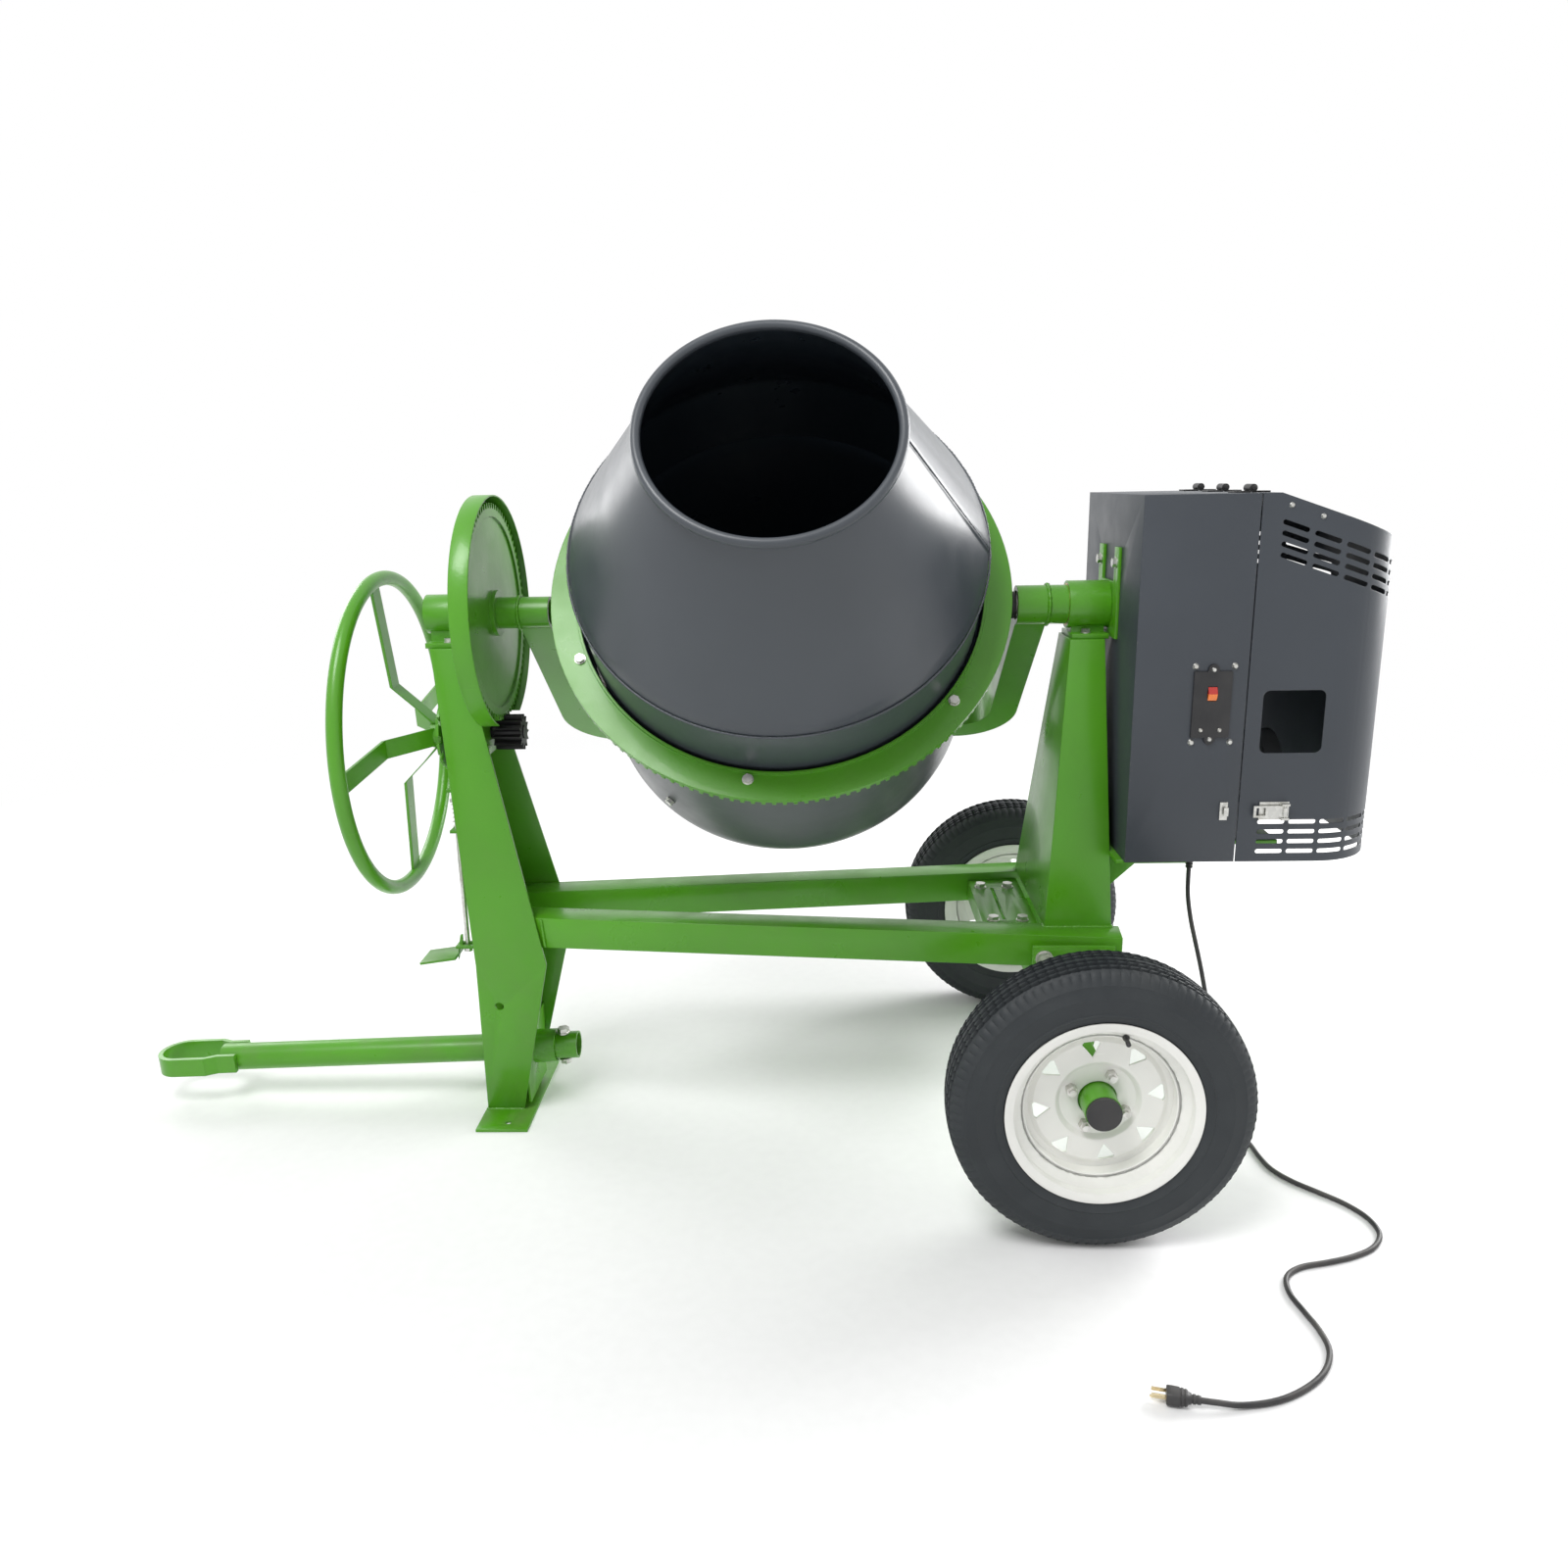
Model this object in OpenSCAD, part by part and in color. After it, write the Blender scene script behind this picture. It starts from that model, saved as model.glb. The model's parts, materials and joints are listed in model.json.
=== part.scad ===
// Tilting-drum concrete mixer on two road wheels, all sizes in millimetres.
// +X runs from the tow eye to the motor hood, +Y away from the latch side, +Z up.
// The origin lies on the ground under the middle of the whole machine.

/* [Wheels and axle] */
// Outside diameter of the tyres, which also sets the axle height
tyre_od = 525; // [500:5:560]
// Widest part of a tyre
tyre_w = 122; // [110:1:135]
// Distance between the two wheel centres
track = 987; // [900:1:1150]
// Bead seat diameter of the rims
bead_d = 310; // [300:1:316]
// Diameter of the wheel spindles
spindle_d = 35; // [28:1:40]
// Bolt circle of the wheel nuts
wheel_pcd = 101.6; // [98:0.2:110]

/* [Frame] */
// Side of the square chassis tubes
rail_w = 64; // [50:1:70]
// Wall of the square chassis tubes
rail_wall = 4; // [3:0.5:6]
// Height of the top of the chassis tubes
rail_top = 457; // [440:1:462]
// Wall of the folded stand and column
stand_wall = 5; // [4:0.5:8]
// Thickness of the foot bar
foot_t = 6; // [5:0.5:10]
// Diameter of the two anchor holes in the foot bar
anchor_d = 14; // [10:0.5:18]
// Diameter of the storage hole through the stand
stand_hole_d = 18; // [12:1:24]

/* [Tow bar] */
// Outside diameter of the tow bar
tow_d = 58; // [48:1:64]
// Height of the tow bar's axis at the stand
tow_z = 117; // [108:1:125]
// Slope of the tow bar, down towards its eye, in degrees
tow_slope = 2; // [0:0.5:3]
// Length from the wheel axle to the tip of the tow eye
tow_reach = 1943; // [1800:1:2100]

/* [Drum] */
// Distance from the wheel axle to the drum's middle
drum_back = 546.5; // [530:0.5:560]
// Height of the trunnion axis
trunnion_z = 1062.5; // [1050:0.5:1090]
// Lean of the drum's axis from upright
drum_lean = 52.7; // [0:0.1:80]
// Outside diameter of the drum's bowl
bowl_d = 776; // [740:1:790]
// Outside diameter of the rolled mouth
mouth_d = 441; // [380:1:480]
// Height of the mouth above the trunnion axis, along the drum
mouth_h = 543; // [480:1:550]
// Depth of the bowl below the trunnion axis, along the drum
bowl_depth = 418; // [380:1:424]
// Thickness of the drum's plate
drum_wall = 4; // [3:0.5:6]

/* [Gears] */
// Teeth on the drum's ring gear
ring_teeth = 144; // [132:12:156]
// Teeth on the drive pinion
pinion_teeth = 20; // [18:1:22]
// Tooth module of the ring gear and its pinion
ring_module = 6; // [5.5:0.25:6.25]
// Teeth on the tilting gear
tilt_teeth = 84; // [76:4:88]
// Teeth on the tilting pinion
tilt_pinion_teeth = 13; // [12:1:16]
// Tooth module of the tilting gear and its pinion
tilt_module = 5; // [4.5:0.25:5.25]

/* [Handwheel] */
// Outside diameter of the handwheel
handwheel_d = 658; // [560:1:680]
// Diameter of the handwheel's tube
handwheel_tube_d = 29; // [22:1:34]
// Diameter of the handwheel's shaft
handwheel_shaft_d = 28; // [20:1:34]

/* [Trunnions] */
// Outside diameter of the left trunnion tube
left_tube_d = 62; // [50:1:64]
// Outside diameter of the right trunnion tube
right_tube_d = 76; // [60:1:80]
// Diameter of the drive shaft inside the right trunnion
drive_shaft_d = 35; // [25:1:40]

/* [Motor box] */
// Depth of the box, front to back
box_d = 434; // [400:1:460]
// Width of the fixed half of the box
box_w = 204; // [190:1:240]
// Width of the hinged hood
hood_w = 279; // [260:1:320]
// Height of the underside of the box
box_z = 600; // [595:1:620]
// Height of the top of the box
box_top = 1272; // [1260:1:1320]
// Thickness of the box's sheet
sheet = 2; // [1.5:0.5:3]
// Slope of the hood's top, in degrees
hood_slope = 19.5; // [10:0.5:25]

/* [Fits] */
// Radial clearance of every shaft in its bore
run_fit = 0.05; // [0.02:0.01:0.09]
// Gap between parts that pass each other
gap = 0.5; // [0.4:0.1:1]

/* [Hidden] */
$fn = 64;
eps = 0.01;
axle_z = tyre_od / 2;
box_x = 97;
hood_x = box_x + box_w;
hood_end = hood_x + hood_w;
// The middle of the machine's length is the origin, so the axle stands this far along X
axle_x = (tow_reach - hood_end) / 2;

green = "limegreen";
dark = "dimgray";
zinc = "silver";
black = "#202224";

rail_end = 100;                  // right end of the rails
rail_out_right = 238;            // half spread of the rails' outer faces at the wheel end
rail_left_x = -1039;             // right edge of the stand, where the rails enter it

// Stand outline: [z, left x, right x, half depth] at top, crease and foot
stand_top = [1000, -1237, -1175, 60];
stand_crease = [362, -1180, -1035, 130];
stand_base = [foot_t, -1198, -1119, 75];
weld = 0.3;                      // gap left where welded plates meet at an angle
// The rails enter between the stand's plates and stop at its web
rail_out_left = between(stand_crease, stand_top, rail_top)[3] - stand_wall - weld;
rail_start = between(stand_crease, stand_top, rail_top - rail_w)[1] + stand_wall + 4;
rail_toe = atan((rail_out_right - rail_out_left) / (90 - rail_left_x));

// Column outline: [z, left x, right x, half depth]
column_base = [rail_top, -41, 88, 180];
column_top = [1000, 12, 78, 58];

left_housing = [-1253, -1142];   // x span of the left bearing housing
right_housing = [12, 91];
bush_t = 3;                      // wall of the trunnion bushes
left_housing_wall = 4.45;
right_housing_wall = 4.95;
housing_foot_t = 10;

left_tube_r = left_tube_d / 2;
right_tube_r = right_tube_d / 2;
left_bush_r = left_tube_r + run_fit + bush_t;
right_bush_r = right_tube_r + run_fit + bush_t;
left_housing_r = left_bush_r + left_housing_wall;
right_housing_r = right_bush_r + right_housing_wall;
right_tube_in = drive_shaft_d / 2 + 11;
shaft_r = drive_shaft_d / 2;

bail_w = 60;                     // side of the bail's square tube
bail_wall = 5;
bail_in = 460;                   // half width inside the bail
bail_out = bail_in + bail_w;
bail_depth = 540;                // outside of the bail below the trunnion axis
bail_r = 130;                    // outer corner radius of the bail
arm_in = -drum_back + bail_in;   // x of the right arm's inner face

bowl_r = bowl_d / 2;
shell_in = bowl_r - drum_wall;
seam_h = 213;                    // where the cone starts
mouth_r = mouth_d / 2;
lip_r = 9;                       // radius of the rolled lip
ring_pitch_r = ring_teeth * ring_module / 2;
pinion_pitch_r = pinion_teeth * ring_module / 2;
ring_plate = [pinion_pitch_r + 8, pinion_pitch_r + 18.5];   // ring plate's two faces along the drum
tooth_tip = pinion_pitch_r - 5;  // lower ends of the ring teeth
ring_out = ring_pitch_r + 10;
tooth_in = ring_pitch_r - 12;
flange_r = bowl_r + 28;          // bowl's flange under the ring
bolt_circle_r = bowl_r + 17;
spindle_r = 25;                  // drum spindle
spindle_plate_r = 95;
boss_r = 52;

tilt_r = tilt_teeth * tilt_module / 2;
tilt_pinion_r = tilt_pinion_teeth * tilt_module / 2;
wheel_shaft_z = trunnion_z - tilt_r - tilt_pinion_r;
wheel_shaft_r = handwheel_shaft_d / 2;
tilt_gear_x = [-1130, -1114];
guard_r = tilt_r + 19;
guard_x = [-1142, -1105];
guard_t = 3;

handwheel_x = -1341;
handwheel_r = handwheel_d / 2 - handwheel_tube_d / 2;
lock_plate_x = [-1237, -1231];
lock_plate_r = 75;
rod_x0 = -1234;                  // x of the lock rod
rod_r = 5;
pedal_pivot = [-1150, 404];      // x and z
pedal_pin_r = 6;

pulley_r = 170;
motor_pulley_r = 29;
tongue = 84;                     // half width of the platform under the motor
belt_t = 9;
belt_x = [150, 163];
motor_z = 722;
motor_r = 84;

hinge_z = box_top + 8;
switch_x = 237;
switch_z = 900;
latch_z = 699;
corner_r = 130;
slope_x = hood_x + 33;

cord_r = 4.5;
gland = [255, -100];
// Route of the lead from the strain relief to the plug, in the axle's frame
cord_route = [[255, -100, 556], [255, -100, 530], [257, -100, 490], [266, -100, 440], [280, -101, 385],
    [294, -102, 330], [307, -104, 270], [318, -108, 210], [329, -114, 150], [340, -123, 95],
    [352, -138, 48], [364, -160, 17], [373, -188, 6], [378, -222, 5], [380, -262, 5],
    [388, -305, 5], [412, -345, 5], [446, -380, 5], [480, -417, 5], [502, -460, 5],
    [502, -505, 5], [475, -543, 5], [430, -568, 5], [380, -584, 5], [330, -597, 5],
    [297, -622, 5], [286, -662, 5], [292, -705, 5], [299, -750, 5], [296, -795, 5],
    [272, -838, 5], [232, -872, 5], [182, -897, 5], [128, -908, 6], [90, -909, 11], [66, -907, 13]];
plug_from = cord_route[len(cord_route) - 1];
plug_turn = 167;                 // heading of the plug on the ground

// ---- shared frames and shapes ----

module from_axle() { translate([axle_x, 0, 0]) children(); }
// Tow bar frame: the bar's axis is the X axis, which dips towards the eye
module at_tow() {
    from_axle() translate([sleeve_plate_x, 0, tow_z]) rotate([0, -tow_slope, 0])
        translate([-sleeve_plate_x, 0, 0]) children();
}
module at_trunnion() { translate([axle_x, 0, trunnion_z]) children(); }
module at_drum() {
    translate([axle_x - drum_back, 0, trunnion_z]) rotate([drum_lean, 0, 0]) children();
}
module at_wheel_shaft() { translate([axle_x, 0, wheel_shaft_z]) children(); }

// Wheel frame: the wheel's axis is +Z and points outwards
module at_wheel(side) {
    translate([axle_x, side * track / 2, axle_z]) rotate([-side * 90, 0, 0]) children();
}

module bar_x(x0, x1, r) { translate([x0, 0, 0]) rotate([0, 90, 0]) cylinder(h = x1 - x0, r = r); }
module bar_y(y0, y1, r) { translate([0, y0, 0]) rotate([-90, 0, 0]) cylinder(h = y1 - y0, r = r); }
module tube_x(x0, x1, ro, ri) {
    difference() { bar_x(x0, x1, ro); bar_x(x0 - 1, x1 + 1, ri); }
}
module tube_z(z0, z1, ro, ri) {
    translate([0, 0, z0]) difference() {
        cylinder(h = z1 - z0, r = ro);
        translate([0, 0, -1]) cylinder(h = z1 - z0 + 2, r = ri);
    }
}
module block(x, y, z) { translate([x[0], y[0], z[0]]) cube([x[1] - x[0], y[1] - y[0], z[1] - z[0]]); }

// Hexagon bolt standing on z = 0, head up, shank down
module bolt(d, shank, washer = true) {
    if (washer) cylinder(h = d * 0.18, r = d * 1.05);
    translate([0, 0, washer ? d * 0.18 : 0]) rotate([0, 0, 15])
        cylinder(h = d * 0.65, r = d * 0.92, $fn = 6);
    translate([0, 0, -shank]) cylinder(h = shank + eps, r = d / 2);
}

// Tapered solid between sections [z, left x, right x, half depth], grown by g on each side
module taper(a, b, g = 0, open = 0) {
    p = [for (s = [a, b]) each [[s[1] - g, -s[3] - g, s[0]], [s[2] + g + open, -s[3] - g, s[0]],
        [s[2] + g + open, s[3] + g, s[0]], [s[1] - g, s[3] + g, s[0]]]];
    polyhedron(p, [[0, 1, 2, 3], [4, 7, 6, 5], [0, 4, 5, 1], [1, 5, 6, 2], [2, 6, 7, 3], [3, 7, 4, 0]]);
}
function between(a, b, z) = [z, for (i = [1:3]) a[i] + (b[i] - a[i]) * (z - a[0]) / (b[0] - a[0])];

function polar(r, a) = [r * cos(a), r * sin(a)];
function half_angle(w, r) = w / 2 / r * 180 / PI;
// Outline of a gear with straight-sided teeth: tip and root widths are shares of the pitch
function gear_outline(n, m, up, down, tip = 0.16, root = 0.46) =
    let (r = n * m / 2, w = PI * m, rt = r + up, rr = r - down)
    [for (i = [0:n - 1])
        let (a = 360 * i / n, ht = half_angle(tip * w, rt), hr = half_angle(root * w, rr))
        each [polar(rr, a - hr), polar(rt, a - ht), polar(rt, a + ht), polar(rr, a + hr)]];

// ---- stand, tow bar and chassis ----

module stand_shell() {
    difference() {
        union() { taper(stand_crease, stand_top); taper(stand_base, stand_crease); }
        taper(between(stand_crease, stand_top, stand_crease[0] - eps),
            between(stand_crease, stand_top, stand_top[0] - stand_wall), -stand_wall, 100);
        taper(between(stand_base, stand_crease, stand_base[0] - 1), stand_crease, -stand_wall, 100);
    }
}
module stand_pedestal() {
    color(green) difference() {
        from_axle() difference() {
            stand_shell();
            translate([-1143, 0, 264]) bar_y(-200, 200, stand_hole_d / 2);
            translate([0, 0, wheel_shaft_z]) bar_x(-1300, -1180, bearing_r);
            block([-1200, -1160], [-6, 6], [pedal_pivot[1] - 34, pedal_pivot[1] + 24]);
            for (y = [-35, 35]) translate([-1205, y, 980]) cylinder(h = 40, r = 5);
        }
        at_tow() bar_x(-1300, -1150, tow_sleeve_r);
    }
    // ears that carry the pedal's pin
    color(green) from_axle() for (y = [-13, 8]) difference() {
        block([between(stand_crease, stand_top, pedal_pivot[1] + 11)[1] + stand_wall - 1.5,
            pedal_pivot[0] + 11],
            [y, y + 5], [pedal_pivot[1] - 11, pedal_pivot[1] + 11]);
        translate([pedal_pivot[0], 0, pedal_pivot[1]]) bar_y(-20, 20, pedal_pin_r + run_fit);
    }
}
module stand_foot() {
    color(green) from_axle() difference() {
        block([-1202, -1093], [-160, 160], [0, foot_t]);
        for (y = [-130, 130]) translate([-1140, y, -1]) cylinder(h = foot_t + 2, r = anchor_d / 2);
    }
}

tow_sleeve_r = tow_d / 2 + 7;
sleeve_x = [-1206, -1056];
sleeve_plate_x = -1108;
tow_bolt_x = -1040;
module tow_sleeve() {
    // cross plate between the stand's sides, cut to their slope
    z0 = foot_t + 14;
    z1 = tow_z + 60;
    y0 = between(stand_base, stand_crease, z0)[3] - stand_wall - weld;
    y1 = between(stand_base, stand_crease, z1)[3] - stand_wall - weld;
    color(green) {
        difference() {
            from_axle() translate([sleeve_plate_x, 0, 0]) rotate([90, 0, 90]) linear_extrude(5)
                polygon([[-y0, z0], [y0, z0], [y1, z1], [-y1, z1]]);
            at_tow() bar_x(sleeve_plate_x - 10, sleeve_plate_x + 16, tow_sleeve_r);
        }
        at_tow() tube_x(sleeve_x[0], sleeve_x[1], tow_sleeve_r, tow_d / 2 + 0.2);
    }
}
module tow_bar() {
    eye_r = 50;              // half width of the eye
    strap = 10;              // strap thickness
    strap_w = 40;
    eye_x = -tow_reach + eye_r;
    color(green) at_tow() {
        difference() {
            tube_x(-1800, -1009, tow_d / 2, tow_d / 2 - 4);
            translate([tow_bolt_x, 0, -60]) cylinder(h = 120, r = 8);
        }
        // strap eye, welded along both sides of the tube
        difference() {
            translate([0, 0, -strap_w / 2]) linear_extrude(strap_w) difference() {
                union() {
                    translate([eye_x, 0]) circle(eye_r);
                    translate([eye_x, -eye_r]) square([70, 2 * eye_r]);
                    polygon([[eye_x + 69, -eye_r], [eye_x + 69, eye_r], [-1800, tow_d / 2 + strap],
                        [-1760, tow_d / 2 + strap], [-1760, -tow_d / 2 - strap],
                            [-1800, -tow_d / 2 - strap]]);
                }
                translate([eye_x, 0]) circle(eye_r - strap);
                translate([eye_x, -eye_r + strap]) square([70, 2 * (eye_r - strap)]);
                polygon([[eye_x + 69, -eye_r + strap], [eye_x + 69, eye_r - strap],
                    [-1800 - 1, tow_d / 2],
                    [-1750, tow_d / 2], [-1750, -tow_d / 2], [-1800 - 1, -tow_d / 2]]);
            }
            bar_x(-1800, -1700, tow_d / 2);
        }
    }
}

module rail(side) {
    mid = rail_out_left - rail_w / 2 / cos(rail_toe);
    translate([rail_left_x, side * mid, rail_top - rail_w / 2]) rotate([0, 0, side * rail_toe])
        difference() {
            length = (rail_end - rail_left_x) / cos(rail_toe);
            back = (rail_start - rail_left_x) / cos(rail_toe);
            block([back, length], [-rail_w / 2, rail_w / 2], [-rail_w / 2, rail_w / 2]);
            block([back - 1, length + 1], [-rail_w / 2 + rail_wall, rail_w / 2 - rail_wall],
                [-rail_w / 2 + rail_wall, rail_w / 2 - rail_wall]);
        }
}
module rails() { color(green) from_axle() for (side = [-1, 1]) rail(side); }

function rail_y(x) = rail_out_left + (x - rail_left_x) * tan(rail_toe);
plate_x = [-150, -42];
plate_drop = 22;
module cross_plate() {
    t = 6;
    inner = rail_y(plate_x[0]) - rail_w / cos(rail_toe) - 1;
    z = rail_top - plate_drop;
    color(green) from_axle() difference() {
        union() {
            // shelf between the rails with a folded lip down its left edge
            shelf(z, t);
            block([plate_x[0], plate_x[0] + t], [-inner, inner], [z - 34, z + eps]);
        }
        for (p = [[-70, 100], [-70, -100], [-128, 100], [-128, -100]])
            translate([p[0], p[1], z - 1]) cylinder(h = t + 2, r = 6);
        block([-108, -101], [-95, 95], [z - 1, z + t + 1]);
    }
}
module shelf(z, t) {
    a = rail_y(plate_x[0]) - rail_w / cos(rail_toe);
    b = rail_y(plate_x[1]) - rail_w / cos(rail_toe);
    translate([0, 0, z]) linear_extrude(t)
        polygon([[plate_x[0], -a], [plate_x[1], -b], [plate_x[1], b], [plate_x[0], a]]);
}

module column() {
    inner_top = between(column_base, column_top, column_top[0] - 6);
    color(green) from_axle() difference() {
        taper(column_base, column_top);
        taper(between(column_base, column_top, column_base[0] - 1), inner_top, -stand_wall);
        for (y = [-34, 34]) translate([45, y, 980]) cylinder(h = 40, r = 5);
    }
}

platform_x = [column_base[2], 430];
platform_t = 8;
module motor_platform() {
    gusset_x = 78;
    gusset_z = 72;
    z = box_z - platform_t;
    x0 = between(column_base, column_top, z)[2];
    color(green) from_axle() {
        block([x0, 217], [-200, 200], [z, box_z]);
        block([217 - eps, platform_x[1]], [-tongue, tongue], [z, box_z]);
        for (y = [-132, 124]) translate([0, y + 8, 0]) rotate([90, 0, 0]) linear_extrude(8)
            polygon([[x0, z], [x0 + gusset_x, z],
                [between(column_base, column_top, z - gusset_z)[2], z - gusset_z]]);
    }
}

bracket_x = [-74, 82];
module axle_brackets() {
    t = 8;
    color(green) from_axle() for (side = [-1, 1])
        translate([0, side > 0 ? rail_y(bracket_x[1]) : -rail_y(bracket_x[1]) - t, 0]) difference() {
            translate([0, t, 0]) rotate([90, 0, 0]) linear_extrude(t) difference() {
                polygon([[bracket_x[0], rail_top - 14], [bracket_x[1], rail_top - 14],
                    [bracket_x[1], rail_top - 70],
                    [45, axle_z - 45], [-45, axle_z - 45], [bracket_x[0] + 8, rail_top - 70]]);
                translate([-axle_w / 2, axle_z - axle_w / 2]) square(axle_w);
            }
            for (x = [-52, 60]) translate([x, 0, rail_top - 38]) bar_y(-10, 20, 8);
        }
}

axle_w = 50;
hub_in = -60;                    // inner end of the hub, measured from the wheel's middle
hub_out = 48;
module axle() {
    half = track / 2 + hub_in - 4;
    nut = hub_out - 18;
    color(green) from_axle() translate([0, 0, axle_z]) {
        block([-axle_w / 2, axle_w / 2], [-half, half], [-axle_w / 2, axle_w / 2]);
        bar_y(-track / 2 - nut, track / 2 + nut, spindle_d / 2);
        for (side = [-1, 1]) translate([0, side * (track / 2 + nut + 4.5), 0]) rotate([90, 0, 0])
            cylinder(h = 10, r = spindle_d / 2 + 3, center = true, $fn = 6);
    }
}

module frame_bolts() {
    z = rail_top - plate_drop + 6;
    color(zinc) from_axle() {
        for (p = [[-70, 100], [-70, -100], [-128, 100], [-128, -100]])
            translate([p[0], p[1], z]) bolt(12, 5.9);
        for (side = [-1, 1], x = [-52, 60])
            translate([x, side * (rail_y(bracket_x[1]) + 8), rail_top - 38])
                rotate([-side * 90, 0, 0]) bolt(16, 7.9);
        // bearing housing feet
        for (y = [-35, 35]) {
            translate([-1205, y, stand_top[0] + housing_foot_t]) bolt(10, 10);
            translate([45, y, column_top[0] + housing_foot_t]) bolt(10, 10);
        }
        // box bracket
        for (y = [-62, 62]) translate([bracket_plate[0], y, 1146]) rotate([0, -90, 0]) bolt(10, 7);
    }
    // through bolt that stops the tow bar in its sleeve
    color(zinc) at_tow() {
        translate([tow_bolt_x, 0, tow_d / 2]) bolt(14, tow_d);
        translate([tow_bolt_x, 0, -tow_d / 2]) rotate([180, 0, 0]) bolt(14, 4);
    }
}

// ---- bearings that carry the bail ----

module housing(x, r, bush_r, top_z) {
    difference() {
        union() {
            translate([0, 0, trunnion_z]) bar_x(x[0], x[1], r);
            block([x[0] + 8, x[1] - 8], [-22, 22], [top_z + eps, trunnion_z]);
            block([x[0] + 4, x[1] - 4], [-50, 50], [top_z, top_z + housing_foot_t]);
        }
        translate([0, 0, trunnion_z]) bar_x(x[0] - 1, x[1] + 1, bush_r);
        for (y = [-35, 35]) translate([(x == left_housing ? -1205 : 45), y, top_z - 1])
            cylinder(h = housing_foot_t + 2, r = 5);
    }
}
module left_housing() {
    color(green) from_axle() housing(left_housing, left_housing_r, left_bush_r, stand_top[0]);
}
module right_housing() {
    color(green) from_axle() housing(right_housing, right_housing_r, right_bush_r, column_top[0]);
}
module trunnion_bushes() {
    color("peru") at_trunnion() {
        tube_x(left_housing[0] + 2, left_housing[1], left_bush_r, left_tube_r + run_fit);
        tube_x(right_housing[0], right_housing[1] - 2, right_bush_r, right_tube_r + run_fit);
    }
}

module gear_guard() {
    // half width of the opening at the bottom, which clears the stand's sides
    cut = between(stand_crease, stand_top, trunnion_z - guard_r + 20)[3] + 6;
    color(green) at_trunnion() difference() {
        union() {
            tube_x(guard_x[0], guard_x[1], guard_r, guard_r - guard_t);
            bar_x(guard_x[0], guard_x[0] + guard_t, guard_r);
        }
        bar_x(guard_x[0] - 1, guard_x[1], left_tube_r + 3);
        block([guard_x[0] - 1, guard_x[1] + 1], [-cut, cut], [-guard_r - 5, -tilt_r + 22]);
    }
}

bearing_r = 24;
module handwheel_bearing() {
    plate = [-1150, -1144];
    s = between(stand_crease, stand_top, wheel_shaft_z);
    color(green) at_wheel_shaft() difference() {
        union() {
            bar_x(-1228, plate[1], bearing_r);
            block(plate, [-s[3] + stand_wall + 5, s[3] - stand_wall - 5], [-40, 40]);
        }
        bar_x(-1240, -1100, wheel_shaft_r + run_fit);
    }
}

bracket_plate = [91, 97];
module box_bracket() {
    color(green) at_trunnion() difference() {
        union() {
            block(bracket_plate, [-78, 78], [-60, 46]);
            for (y = [-78, 46]) block(bracket_plate, [y, y + 32], [40, 112]);
        }
        bar_x(bracket_plate[0] - 1, bracket_plate[1] + 1, right_tube_r + 1);
        for (y = [-62, 62]) translate([0, y, 1146 - trunnion_z])
            bar_x(bracket_plate[0] - 1, bracket_plate[1] + 1, 5);
    }
}

// ---- bail, trunnions and tilting gear ----

module u_outline(w, depth, r, top) {
    translate([-w, -depth + r]) square([2 * w, depth - r + top]);
    translate([-w + r, -depth]) square([2 * (w - r), r + eps]);
    for (x = [-w + r, w - r]) translate([x, -depth + r]) circle(r);
}
module bail_band(inset) {
    t = bail_w - inset;
    difference() {
        u_outline(bail_out - inset, bail_depth - inset, bail_r - inset, 0);
        u_outline(bail_out - t, bail_depth - t, bail_r - t, 5);
    }
}
module bail() {
    color(green) at_drum() difference() {
        union() {
            rotate([90, 0, 0]) translate([0, 0, -bail_w / 2]) linear_extrude(bail_w) bail_band(0);
            translate([0, 0, -bail_depth - 6]) cylinder(h = bail_w + 44, r = boss_r);
        }
        rotate([90, 0, 0]) translate([0, 0, -bail_w / 2 + bail_wall])
            linear_extrude(bail_w - 2 * bail_wall) difference() {
                bail_band(bail_wall);
                translate([-boss_r - 4, -bail_depth]) square([2 * (boss_r + 4), bail_w]);
                for (x = [-bail_out, bail_in]) translate([x, -48]) square([bail_w, 60]);
            }
        bar_x(-bail_out - 1, -bail_in + 1, left_tube_r);
        bar_x(bail_in - 1, bail_out + 1, right_tube_r);
        translate([0, 0, -bail_depth - 20]) cylinder(h = 160, r = spindle_r + run_fit);
    }
}
module left_trunnion() {
    color(green) at_trunnion()
        tube_x(left_housing[0] + 4, -drum_back - bail_in, left_tube_r, left_tube_r - 6);
}
module right_trunnion() {
    color(green) at_trunnion() tube_x(arm_in, right_housing[1] - 4, right_tube_r, right_tube_in);
}
module tilt_gear() {
    hub = [-1137, -1109];
    web = [-1126, -1118];
    color(green) at_trunnion() difference() {
        union() {
            translate([tilt_gear_x[0], 0, 0]) rotate([0, 90, 0])
                linear_extrude(tilt_gear_x[1] - tilt_gear_x[0])
                difference() {
                    polygon(gear_outline(tilt_teeth, tilt_module, 4.5, 6));
                    circle(tilt_r - 22);
                }
            bar_x(web[0], web[1], tilt_r - 21);
            bar_x(hub[0], hub[1], left_tube_r + 14);
        }
        bar_x(-1200, -1050, left_tube_r);
    }
}
module shaft_bearings() {
    w = 16;
    color(zinc) at_trunnion() for (x = [arm_in + 4, right_housing[1] - 4 - w - 4])
        tube_x(x, x + w, right_tube_in, shaft_r + run_fit);
}

// ---- drum ----

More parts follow.
